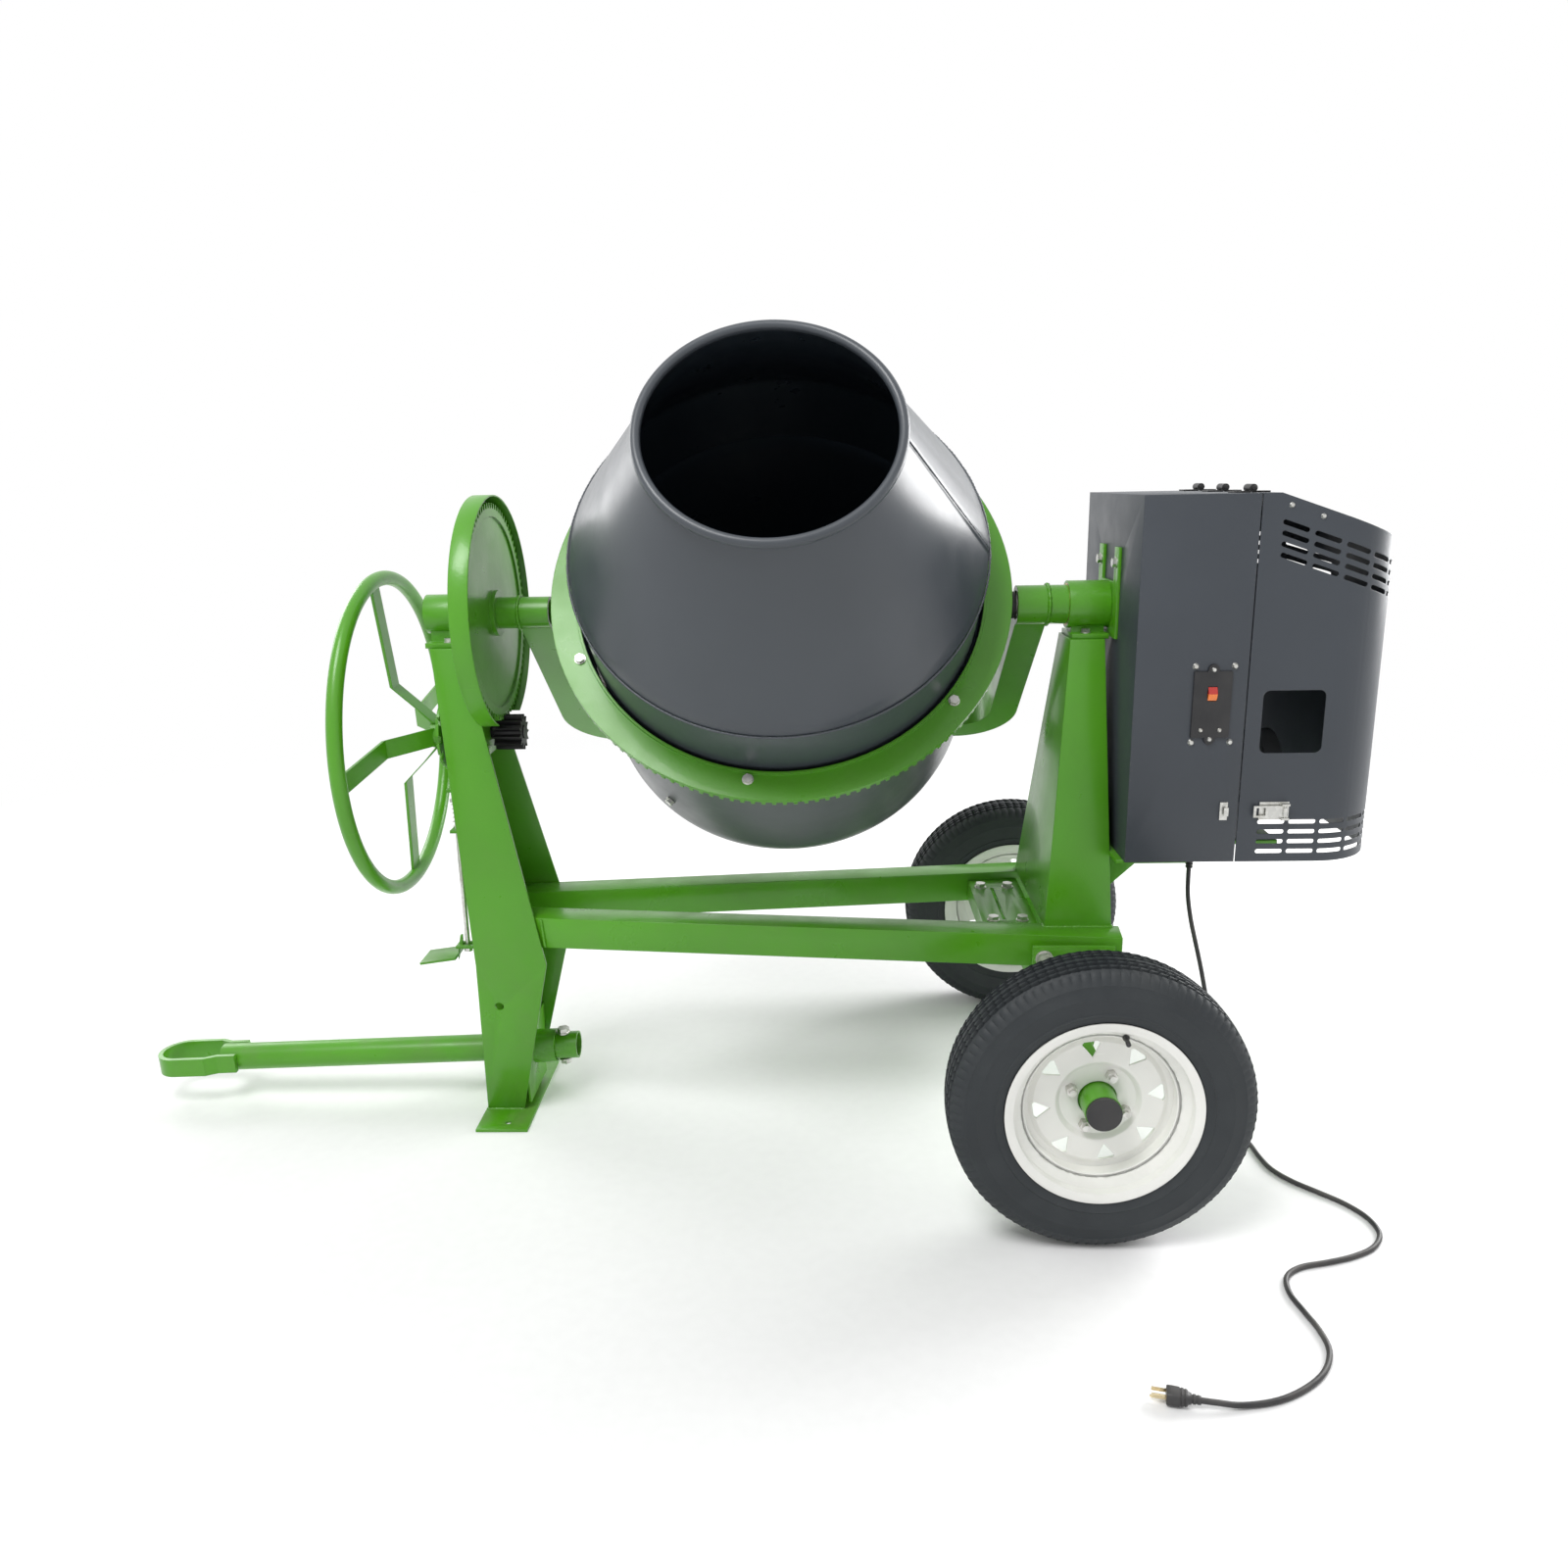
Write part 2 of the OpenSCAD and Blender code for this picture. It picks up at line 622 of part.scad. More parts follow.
module drum_bowl() {
    knee = bowl_depth - 70;
    foot_r = bowl_r - 150;
    flange_t = 5;
    top = ring_plate[0];
    w = drum_wall;
    color(dark) at_drum() difference() {
        rotate_extrude()
            polygon([[0, -bowl_depth], [foot_r, -bowl_depth], [bowl_r - 52, -knee - 34],
                [bowl_r - 14, -knee - 8],
            [bowl_r, -knee + 24], [bowl_r, top - flange_t - 6], [bowl_r + 4, top - flange_t],
                [flange_r, top - flange_t],
            [flange_r, top], [shell_in, top], [shell_in, -knee + 24], [shell_in - 12, -knee - 5],
            [shell_in - 50, -knee - 30], [foot_r - 2, -bowl_depth + w], [0, -bowl_depth + w]]);
        ring_bolt_holes();
        for (a = [0:60:300]) rotate([0, 0, a]) translate([72, 0, -bowl_depth - 1])
            cylinder(h = w + 2, r = 6);
        for (s = [0, 180]) rotate([0, 0, s]) paddle_holes();
    }
}
module ring_bolt_holes() {
    for (i = [0:ring_bolts - 1]) rotate([0, 0, ring_bolt_start + 360 * i / ring_bolts])
        translate([bolt_circle_r, 0, 40]) cylinder(h = 60, r = 5);
}
ring_bolts = 6;
ring_bolt_start = 22;             // turn of the first bolt

module drum_cone() {
    w = drum_wall;
    base = ring_plate[0];
    neck_r = mouth_r - lip_r - 2;
    lip_z = mouth_h - lip_r;
    color(dark) at_drum() {
        rotate_extrude()
            polygon([[shell_in - w, base - 14], [shell_in - eps, base - 14], [shell_in - eps, seam_h],
            [neck_r + w, lip_z - 8], [neck_r + w, lip_z + 4], [neck_r, lip_z + 4],
            [neck_r, lip_z - 9], [shell_in - w, seam_h - 1]]);
        // rolled lip of the mouth
        translate([0, 0, lip_z]) rotate_extrude() difference() {
            translate([mouth_r - lip_r, 0]) circle(lip_r, $fn = 24);
            translate([neck_r, -20]) square([w, 24]);
        }
    }
}
module ring_gear() {
    color(green) at_drum() difference() {
        union() {
            tube_z(ring_plate[0], ring_plate[1], ring_out, bowl_r + 0.3);
            tube_z(ring_plate[0], ring_plate[1] + 6, bowl_r + 5, bowl_r + 0.3);
            translate([0, 0, tooth_tip]) linear_extrude(ring_plate[0] - tooth_tip + eps) difference() {
                polygon(ring_outline());
                circle(tooth_in - 3);
            }
        }
        ring_bolt_holes();
    }
}
// Radial teeth with a space on the +X side, where the pinion runs
function ring_outline() =
    let (w = 0.38 * PI * ring_module, ht = half_angle(w, ring_pitch_r), step = 360 / ring_teeth)
    [for (i = [0:ring_teeth - 1]) let (a = step * (i + 0.5))
        each [polar(tooth_in, a - ht), polar(ring_out - 1, a - ht), polar(ring_out - 1, a + ht),
            polar(tooth_in, a + ht)]];

module drum_bolts() {
    color(zinc) at_drum() {
        for (i = [0:ring_bolts - 1]) rotate([0, 0, ring_bolt_start + 360 * i / ring_bolts])
            translate([bolt_circle_r, 0, 0]) {
                translate([0, 0, ring_plate[1]]) bolt(10, ring_plate[1] - ring_plate[0] + 5);
                translate([0, 0, ring_plate[0] - 13]) cylinder(h = 8, r = 9, $fn = 6);
            }
        for (s = [0, 180]) rotate([0, 0, s]) for (p = paddle_feet)
            rotate([0, 0, p[0]]) translate([bowl_r, 0, p[1]]) rotate([0, 90, 0]) bolt(10, drum_wall + 6);
        for (a = [0:60:300]) rotate([0, 0, a]) translate([72, 0, -bowl_depth + drum_wall])
            bolt(12, drum_wall + 8);
    }
}

// Paddle feet on the shell: [angle, height along the drum]
paddle_feet = [[20, -60], [52, -250]];
module paddle_holes() {
    for (p = paddle_feet) rotate([0, 0, p[0]]) translate([0, 0, p[1]]) bar_x(bowl_r - 40, bowl_r + 20, 5);
}
module paddle_foot(p) {
    // angle cleat: pad against the shell and a leg that reaches in to the blade
    rotate([0, 0, p[0]]) translate([0, 0, p[1]]) difference() {
        union() {
            block([shell_in - 7, shell_in - 1.5], [-25, 25], [-25, 25]);
            block([shell_in - 95, shell_in - 1.6], [-25, -19], [-25, 25]);
        }
        bar_x(shell_in - 20, shell_in + 5, 5);
    }
}
module mixing_paddles() {
    reach = shell_in - 70;
    color("slategray") at_drum() for (s = [0, 180]) rotate([0, 0, s]) {
        for (p = paddle_feet) paddle_foot(p);
        paddle_blade(reach);
    }
}
// Flat blade bolted across the two cleats of one paddle
module paddle_blade(reach) {
    a = [for (p = paddle_feet) each [polar(reach, p[0])[0], polar(reach, p[0])[1], p[1]]];
    run = [a[3] - a[0], a[4] - a[1], a[5] - a[2]];
    length = norm(run);
    translate([a[0], a[1], a[2]]) rotate([0, acos(run[2] / length), atan2(run[1], run[0])])
        block([-30, 30], [-42, -36], [-70, length + 60]);
}
module drum_spindle() {
    color(zinc) at_drum() {
        difference() {
            translate([0, 0, -bowl_depth - 8]) cylinder(h = 8, r = spindle_plate_r);
            for (a = [0:60:300]) rotate([0, 0, a]) translate([72, 0, -bowl_depth - 9])
                cylinder(h = 10, r = 6);
        }
        translate([0, 0, -bail_depth - 16]) cylinder(h = bail_depth + 16 - bowl_depth - 7, r = spindle_r);
        translate([0, 0, -bail_depth - 20]) cylinder(h = 13, r = spindle_r + 13, $fn = 6);
    }
}

// ---- drive ----

pinion_span = [ring_pitch_r - 11, ring_pitch_r + 9];
module drive_shaft() {
    color(zinc) at_trunnion() bar_x(-drum_back + pinion_span[0] - 6, belt_x[1] + 22, shaft_r);
}
module drive_pinion() {
    color(black) at_trunnion() difference() {
        union() {
            translate([-drum_back + pinion_span[0], 0, 0]) rotate([0, 90, 0])
                rotate([0, 0, 180 + drum_lean])
                linear_extrude(pinion_span[1] - pinion_span[0])
                    polygon(gear_outline(pinion_teeth, ring_module, 5.5, 7));
            bar_x(-drum_back + pinion_span[0], -drum_back + bail_in - 2, shaft_r + 9);
        }
        bar_x(-drum_back + pinion_span[0] - 1, arm_in, shaft_r);
    }
}
module pulley(r, groove, span, hub_r, bore_r, hub) {
    difference() {
        union() {
            bar_x(span[0] - 5, span[0] - gap, r);
            bar_x(span[1] + gap, span[1] + 5, r);
            bar_x(span[0] - 1, span[1] + 1, groove);
            bar_x(hub[0], hub[1], hub_r);
        }
        bar_x(hub[0] - 10, hub[1] + 10, bore_r);
    }
}
module drive_pulley() {
    groove = pulley_r - belt_t - 1;
    color("gray") at_trunnion() difference() {
        pulley(pulley_r, groove, belt_x, 34, shaft_r, [belt_x[0] - 12, belt_x[1] + 18]);
        for (a = [0:60:300]) rotate([a, 0, 0]) translate([0, 0, 98])
            bar_x(belt_x[0] - 20, belt_x[1] + 20, 34);
    }
}
module motor_pulley() {
    color("gray") translate([axle_x, 0, motor_z])
        pulley(motor_pulley_r, motor_pulley_r - belt_t - 1, belt_x, 16, motor_shaft_r,
            [belt_x[0] - 6, belt_x[1] + 12]);
}
module drive_belt() {
    color(black) translate([axle_x + belt_x[0], 0, 0]) rotate([90, 0, 90])
        linear_extrude(belt_x[1] - belt_x[0]) difference() {
            hull() {
                translate([0, trunnion_z]) circle(pulley_r - 1);
                translate([0, motor_z]) circle(motor_pulley_r - 1);
            }
            hull() {
                translate([0, trunnion_z]) circle(pulley_r - belt_t);
                translate([0, motor_z]) circle(motor_pulley_r - belt_t);
            }
        }
}
motor_shaft_r = 9.5;
module motor() {
    body = [208, 430];
    color("slategray") translate([axle_x, 0, motor_z]) {
        bar_x(body[0] + 18, body[1] - 52, motor_r - 8);
        for (a = [0:15:345]) rotate([a, 0, 0])
            block([body[0] + 22, body[1] - 56], [-1.5, 1.5], [motor_r - 12, motor_r - 1]);
        bar_x(body[0], body[0] + 20, motor_r);
        bar_x(body[1] - 54, body[1] - 34, motor_r);
        bar_x(body[1] - 36, body[1], motor_r + 2);
        bar_x(belt_x[1] + 14, body[0] + 1, motor_shaft_r + 5);
        for (y = [-1, 1]) block([body[0] + 30, body[1] - 70], y > 0 ? [44, 80] : [-80, -44],
            [box_z + sheet - motor_z, -44]);
        block([body[0] + 58, body[1] - 84], [-38, 38], [motor_r - 10, motor_r + 42]);
    }
    color("slategray") translate([axle_x, 0, motor_z])
        bar_x(belt_x[0] - 4, belt_x[1] + 15, motor_shaft_r - run_fit);
}

// ---- motor box ----

module drive_box() {
    h = box_top - box_z;
    color(dark) from_axle() difference() {
        block([box_x, hood_x - 1.5], [-box_d / 2, box_d / 2], [box_z, box_top]);
        block([box_x + sheet, hood_x + 1], [-box_d / 2 + sheet, box_d / 2 - sheet],
            [box_z + sheet, box_top - sheet]);
        translate([0, 0, trunnion_z]) bar_x(box_x - 1, box_x + sheet + 1, right_tube_r + 6);
        for (y = [-62, 62]) translate([0, y, 1146]) bar_x(box_x - 1, box_x + sheet + 1, 5);
        translate([gland[0], gland[1], box_z - 1]) cylinder(h = sheet + 2, r = 9);
        // cut-outs behind the switch and for the motor's side of the bottom sheet
        block([switch_x - 22, switch_x + 22], [-box_d / 2 - 1, -box_d / 2 + sheet + 1],
            [switch_z - 40, switch_z + 45]);
    }
}
module hood_plan(inset) {
    r = corner_r - inset;
    x1 = hood_end - inset;
    y1 = box_d / 2 - inset;
    x0 = hood_x + (inset > 0 ? -2 : 0.5);
    translate([x0, -y1]) square([x1 - r - x0, 2 * y1]);
    translate([x1 - r - eps, -y1 + r]) square([r + eps, 2 * (y1 - r)]);
    for (y = [-y1 + r, y1 - r]) translate([x1 - r, y]) circle(r);
}
module hood_side(inset) {
    z0 = inset > 0 ? box_z - 2 : box_z;
    x0 = hood_x - 3;
    x1 = hood_end + 5;
    t = box_top - inset;
    s = slope_x - inset * tan(hood_slope / 2);
    translate([0, box_d, 0]) rotate([90, 0, 0]) linear_extrude(2 * box_d)
        polygon([[x0, z0], [x1, z0], [x1, t - (x1 - s) * tan(hood_slope)], [s, t], [x0, t]]);
}
module hood_solid(inset) {
    intersection() {
        translate([0, 0, box_z - 5]) linear_extrude(box_top - box_z + 10) hood_plan(inset);
        hood_side(inset);
    }
}
// One vent slot, lying across Y, centred on the origin
module vent(length = 50, w = 8.5) {
    rotate([90, 0, 0]) translate([0, 0, -12]) linear_extrude(24) {
        square([length - w, w], center = true);
        for (s = [-1, 1]) translate([s * (length - w) / 2, 0]) circle(w / 2, $fn = 20);
    }
}
// A row of five vents that runs along the front and round the corner; k is -1 front, 1 back
module vent_row(k, z, slope) {
    pitch = 57;
    flat_end = hood_end - corner_r;
    for (i = [0:4]) {
        s = hood_x + 61.5 + i * pitch;
        turn = max(0, (s - flat_end) / corner_r * 180 / PI);
        x = min(s, flat_end);
        px = turn > 0 ? flat_end + corner_r * sin(turn) : x;
        pz = z - (px - hood_x - 61.5) * tan(slope);
        tilt = atan(tan(slope) * cos(turn));
        translate([flat_end, k * (box_d / 2 - corner_r), pz])
            rotate([0, 0, -k * turn]) translate([x - flat_end, k * corner_r, 0]) rotate([0, tilt, 0])
                vent();
    }
}
module hood() {
    color(dark) from_axle() difference() {
        hood_solid(0);
        hood_solid(sheet);
        for (k = [-1, 1]) {
            for (i = [0:3]) vent_row(k, 1215 - i * 19, hood_slope);
            for (i = [0:3]) vent_row(k, 620 + i * 19, 0);
        }
        // hand window on the front face
        translate([386, -box_d / 2, 866]) rotate([90, 0, 0]) translate([0, 0, -10]) linear_extrude(20) {
            square([112, 92], center = true);
            square([88, 116], center = true);
            for (x = [-44, 44], y = [-46, 46]) translate([x, y]) circle(12, $fn = 24);
        }
    }
}

knuckle = 34;                    // length of one hinge along Y
hinge_y = [-150, 0, 150];
hinge_r = 7;
pin_r = 3.5;
module hinge_barrels(which) {
    // each hinge has three barrels: the outer two on the box, the middle one on the hood
    for (y = hinge_y, i = [0:2]) if ((i == 1) == (which == "hood"))
        translate([hood_x, y - 1.5 * knuckle / 3 + i * knuckle / 3 + (i == 1 ? gap : 0), hinge_z])
            difference() {
                h = knuckle / 3 - (i == 1 ? 2 * gap : 0);
                rotate([-90, 0, 0]) cylinder(h = h, r = hinge_r);
                rotate([-90, 0, 0]) translate([0, 0, -1])
                    cylinder(h = h + 2, r = pin_r + (which == "hood" ? run_fit : -eps));
            }
}
module box_hinges() {
    color(black) from_axle() {
        hinge_barrels("box");
        for (y = hinge_y) {
            translate([hood_x, y, hinge_z]) bar_y(-knuckle / 2 - 2, knuckle / 2 + 2, pin_r);
            for (i = [0, 2]) block([hood_x - 34, hood_x - hinge_r + 2],
                [y - knuckle / 2 + i * knuckle / 3, y - knuckle / 2 + (i + 1) * knuckle / 3],
                    [box_top, box_top + 3]);
            block([hood_x - 34, hood_x - 12], [y - knuckle / 2, y + knuckle / 2], [box_top, box_top + 3]);
        }
    }
}
latch_x = 362;
module hood_fittings() {
    front = -box_d / 2;
    color(zinc) from_axle() {
        // latch base plate, its two hinge ears and screws along the sloping edge
        block([latch_x - 24, latch_x + 30], [front - 3, front], [latch_z - 17, latch_z + 17]);
        for (z = [latch_z - 15.5, latch_z + 11.5]) difference() {
            block([latch_x + 14, latch_x + 28], [front - 14, front - 3 + eps], [z, z + 4]);
            translate([latch_x + 21, front - 9, z - 1]) cylinder(h = 6, r = 2 + run_fit);
        }
        for (k = [-1, 1], x = [352, 408])
            translate([x, k * box_d / 2, box_top - (x - slope_x) * tan(hood_slope) - 15])
            rotate([-k * 90, 0, 0]) cylinder(h = 3, r1 = 5, r2 = 3);
    }
    color(black) from_axle() {
        hinge_barrels("hood");
        for (y = hinge_y)
            block([hood_x + hinge_r - 2, hood_x + 30], [y - knuckle / 6 + gap, y + knuckle / 6 - gap],
            [box_top, box_top + 3]);
        for (y = hinge_y)
            block([hood_x + 12, hood_x + 30], [y - knuckle / 2, y + knuckle / 2], [box_top, box_top + 3]);
    }
}
module hood_latch() {
    front = -box_d / 2;
    color(zinc) from_axle() {
        translate([latch_x + 21, front - 9, latch_z - 15.5]) cylinder(h = 31, r = 2);
        translate([latch_x + 21, front - 9, latch_z - 8]) cylinder(h = 16, r = 4.5);
        block([latch_x - 36, latch_x + 19], [front - 9, front - 6], [latch_z - 11, latch_z - 7.5]);
        block([latch_x - 36, latch_x + 19], [front - 9, front - 6], [latch_z + 7.5, latch_z + 11]);
        block([latch_x - 14, latch_x + 19], [front - 9, front - 6], [latch_z - 8, latch_z + 8]);
        block([latch_x - 36, latch_x - 31], [front - 9, front - 6], [latch_z - 11, latch_z + 11]);
    }
}
// Keeper for the latch and the screws of the box
module box_fittings() {
    front = -box_d / 2;
    color(zinc) from_axle() {
        block([266, 280], [front - 2.5, front], [latch_z - 17, latch_z + 17]);
        block([276, 280], [front - 9, front - 2.5 + eps], [latch_z - 8, latch_z + 8]);
        block([272, 280], [front - 9, front - 7], [latch_z - 8, latch_z + 8]);
        for (x = [-32, 38], z = [-70, 70]) translate([switch_x + x, front, switch_z + z])
            rotate([90, 0, 0])
            cylinder(h = 4, r1 = 6, r2 = 3.5);
        for (k = [-1, 1]) translate([switch_x, front - 4, switch_z + k * 64]) rotate([90, 0, 0])
            cylinder(h = 2.5, r1 = 4.5, r2 = 3);
        for (x = [-17, 17]) translate([switch_x + x, front - 4, switch_z - 47]) rotate([90, 0, 0])
            cylinder(h = 2.5, r1 = 4, r2 = 2.5);
    }
}
module switch_plate() {
    front = -box_d / 2;
    color(black) from_axle() difference() {
        union() {
            block([switch_x - 34.5, switch_x + 34.5], [front - 4, front], [switch_z - 61, switch_z + 61]);
            for (k = [-1, 1]) translate([switch_x, 0, switch_z + k * 64]) bar_y(front - 4, front, 10);
            // body of the switch behind the sheet
            block([switch_x - 20, switch_x + 20], [front, front + 34], [switch_z - 38, switch_z + 43]);
        }
        block([switch_x - 8.4, switch_x + 8.4], [front - 5, front + 16],
            [switch_z + 6.6, switch_z + 33.4]);
    }
}
module rocker_switch() {
    front = -box_d / 2;
    zc = switch_z + 20;
    color("red") from_axle() translate([switch_x, front, zc]) {
        rotate([0, 90, 0]) translate([0, 0, -8]) linear_extrude(16)
            polygon([[-12.4, 0], [-12.4, -3], [-7, -6], [0, -8.5], [7, -6], [12.4, -3], [12.4, 0],
                [5, 6], [-5, 6]]);
        // pivots in the switch's body
        bar_x(-8.3, 8.3, 1.5);
    }
}

// ---- lead ----

module cord_gland() {
    color(black) from_axle() translate([gland[0], gland[1], 0]) difference() {
        union() {
            translate([0, 0, box_z - 8]) cylinder(h = 8, r = 13);
            translate([0, 0, box_z - eps]) cylinder(h = sheet + 1, r = 9);
            translate([0, 0, box_z + sheet]) cylinder(h = 5, r = 13);
            translate([0, 0, cord_route[0][2] - 6])
                cylinder(h = box_z - 8 - cord_route[0][2] + 6 + eps, r1 = 7, r2 = 10);
        }
        translate([0, 0, cord_route[0][2] - 10]) cylinder(h = 80, r = cord_r + 0.3);
    }
}
function unit(v) = v / norm(v);
// Smooth curve through the route's points
function spline(p, i, t) =
    let (a = p[max(i - 1, 0)], b = p[i], c = p[i + 1], d = p[min(i + 2, len(p) - 1)])
    0.5 * (2 * b + (c - a) * t + (2 * a - 5 * b + 4 * c - d) * t * t + (3 * b - a - 3 * c + d)
        * t * t * t);
module swept_tube(p, r, sides, steps) {
    path = concat([for (i = [0:len(p) - 2], k = [0:steps - 1]) spline(p, i, k / steps)], [p[len(p) - 1]]);
    n = len(path);
    function tangent(i) = unit(path[min(i + 1, n - 1)] - path[max(i - 1, 0)]);
    rings = [for (i = [0:n - 1])
        let (t = tangent(i), side = unit(cross(t, [0.31, 0.22, 0.92])), up = cross(side, t))
        for (k = [0:sides - 1]) path[i] + r * (cos(360 * k / sides) * side + sin(360 * k / sides) * up)];
    faces = [for (i = [0:n - 2], k = [0:sides - 1])
        let (a = i * sides + k, b = i * sides + (k + 1) % sides)
        each [[a, b, b + sides], [a, b + sides, a + sides]]];
    polyhedron(rings,
        concat([[for (k = [sides - 1:-1:0]) k]], faces, [[for (k = [0:sides - 1]) (n - 1) * sides + k]]));
}
module power_cord() { color(black) from_axle() swept_tube(cord_route, cord_r, 8, 2); }
module plug() {
    color(black) from_axle() translate(plug_from) rotate([0, 0, plug_turn]) {
        translate([0, 0, 0]) rotate([0, 90, 0]) cylinder(h = 16, r1 = cord_r + 2, r2 = 8);
        block([15, 47], [-12.5, 12.5], [-11, 11]);
    }
    color(zinc) from_axle() translate(plug_from) rotate([0, 0, plug_turn]) {
        for (y = [-6.4, 6.4]) block([46, 68], [y - 0.8, y + 0.8], [-1, 5]);
        translate([0, 0, -6]) bar_x(46, 70, 2.4);
    }
}

// ---- handwheel and its lock ----

spoke_path = [[302, -1341], [100, -1329], [55, -1283], [26, -1254]];
module handwheel() {
    t = 6;
    side = 38;
    color(green) at_wheel_shaft() {
        translate([handwheel_x, 0, 0]) rotate([0, 90, 0]) rotate_extrude()
            translate([handwheel_r, 0]) circle(handwheel_tube_d / 2, $fn = 32);
        difference() {
            union() {
                for (a = [0:90:270]) rotate([a + 7, 0, 0]) rotate([90, 0, 0]) translate([0, 0, -side / 2])
                    linear_extrude(side) polygon([for (p = spoke_path) [p[1], p[0]],
                        for (i = [3:-1:0])
                            [spoke_path[i][1] - t, spoke_path[i][0] + (i > 0 && i < 3 ? 3 : 0)]]);
                bar_x(-1264, lock_plate_x[0], 30);
            }
            bar_x(-1300, -1200, wheel_shaft_r);
        }
    }
}
module tilt_pinion() {
    color(black) at_wheel_shaft() {
        bar_x(-1268, -1076, wheel_shaft_r);
        difference() {
            // a space meets the gear's lowest tooth
            translate([-1134, 0, 0]) rotate([0, 90, 0])
                rotate([0, 0, tilt_pinion_teeth % 2 == 0 ? 180 / tilt_pinion_teeth : 0])
                linear_extrude(56) polygon(gear_outline(tilt_pinion_teeth, tilt_module, 4, 6));
            bar_x(-1135, -1070, wheel_shaft_r);
        }
    }
}
module lock_plate() {
    color(green) at_wheel_shaft() difference() {
        bar_x(lock_plate_x[0], lock_plate_x[1], lock_plate_r);
        bar_x(lock_plate_x[0] - 1, lock_plate_x[1] + 1, wheel_shaft_r);
        for (a = [0:30:330]) rotate([a + 180, 0, 0])
            block([lock_plate_x[0] - 1, lock_plate_x[1] + 1], [-7, 7],
                [lock_plate_r - notch_depth, lock_plate_r + 5]);
    }
}
guide_z = [612, 700];
guide_t = 6;
collar_z = guide_z[1] - 26;
arm_under = 352;                 // underside of the pedal's eye at the rod
notch_depth = 13;
module lock_rod() {
    // the rod rests just under the lock plate and rises into a notch
    tip = wheel_shaft_z - lock_plate_r - 1.5;
    nut_z = arm_under - 10.5;
    color(zinc) from_axle() translate([rod_x0, 0, 0]) {
        translate([0, 0, nut_z]) cylinder(h = tip - 12 - nut_z, r = rod_r);
        block([-6, 6], [-5, 5], [tip - 14, tip]);
        translate([0, 0, nut_z]) cylinder(h = 8, r = 9, $fn = 6);
        translate([0, 0, collar_z]) cylinder(h = 5, r = 11);
    }
}
module lock_pedal() {
    tread = [-1330, -1256];
    px = pedal_pivot[0];
    pz = pedal_pivot[1];
    color(green) from_axle() {
        difference() {
            union() {
                translate([0, 4, 0]) rotate([90, 0, 0]) linear_extrude(8)
                    polygon([[px + 10, pz + 9], [px + 10, pz - 9], [px - 40, pz - 22],
                        [rod_x0 + 14, arm_under - 1],
                        [rod_x0 - 16, arm_under - 4], [tread[1], 322], [tread[1], 336],
                            [rod_x0 - 14, arm_under + 26],
                        [rod_x0 + 16, arm_under + 34], [px - 36, pz + 2]]);
                block([rod_x0 - 22, rod_x0 + 20], [-16, 16], [arm_under, arm_under + 6]);
            }
            // slot for the rod, long enough for the arm's swing
            block([rod_x0 - 10, rod_x0 + 14], [-7, 7], [arm_under - 20, arm_under + 60]);
        }
        translate([tread[1], 0, 334]) rotate([0, -8, 0])
            block([tread[0] - tread[1], 4], [-36, 36], [0, 5]);
        translate([px, 0, pz]) bar_y(-14, 14, pedal_pin_r);
    }
}
module lock_guides() {
    color(green) from_axle() {
        for (z = guide_z) difference() {
            block([rod_x0 - 12, between(stand_crease, stand_top, z)[1] - weld], [-16, 16],
                [z - guide_t / 2, z + guide_t / 2]);
            translate([rod_x0, 0, z - 5]) cylinder(h = 10, r = rod_r + 0.4);
        }
        strap_x = between(stand_crease, stand_top, guide_z[1])[1] - 7;
        block([strap_x, strap_x + 6], [-16, 16],
            [guide_z[0] + guide_t / 2 - eps, guide_z[1] - guide_t / 2 + eps]);
    }
}
// Coil that pushes the rod up, from the lower guide to the rod's collar
module lock_spring() {
    wire = 1.3;
    turns = 6;
    z0 = guide_z[0] + guide_t / 2 + wire + weld;
    z1 = collar_z - wire - weld;
    path = [for (i = [0:turns * 12]) let (a = 30 * i)
        [rod_x0 + 8.5 * cos(a), 8.5 * sin(a), z0 + (z1 - z0) * i / turns / 12]];
    color(zinc) from_axle() swept_tube(path, wire, 6, 1);
}

// ---- wheels ----

// Side of the tyre: height above the bead and half width, as drawn for a 525 mm tyre
bead_h = 18;
tread_t = 14;
tyre_side_h = 107.5;
tyre_side_w = 122;
tyre_side = [[0, 50.5], [13, 51.9], [18, 55], [27, 58.5], [40, 60.6], [52, 61], [64, 60.2],
    [78, 57.6], [91, 53], [100, 48], [107.5, 41]];
module tyre(side) {
    r0 = bead_d / 2;
    wall_h = (tyre_od - bead_d) / 2;
    w = tyre_w / tyre_side_w;
    // the bead keeps its height, so that it always clears the rim's flange
    rise = [for (p = tyre_side) min(p[0], bead_h)
        + max(p[0] - bead_h, 0) * (wall_h - bead_h) / (tyre_side_h - bead_h)];
    outer = [for (i = [0:len(tyre_side) - 1]) [r0 + rise[i], tyre_side[i][1] * w]];
    inner = [for (i = [len(tyre_side) - 1:-1:0])
        [r0 + min(rise[i] + (i < 2 ? 0 : 2), wall_h - tread_t), (tyre_side[i][1] - (i < 2 ? 14 : 9))
            * w]];
    color(black) at_wheel(side) {
        rotate_extrude()
            polygon(concat(outer, [for (i = [len(outer) - 1:-1:0]) [outer[i][0], -outer[i][1]]],
            [for (i = [len(inner) - 1:-1:0]) [inner[i][0], -inner[i][1]]], inner));
        // valve stem, through the rim's barrel on the outer side
        rotate([0, 0, 75]) translate([r0 - 20, 0, 28.8]) rotate([0, -8, 0]) cylinder(h = 24, r = 4);
    }
}
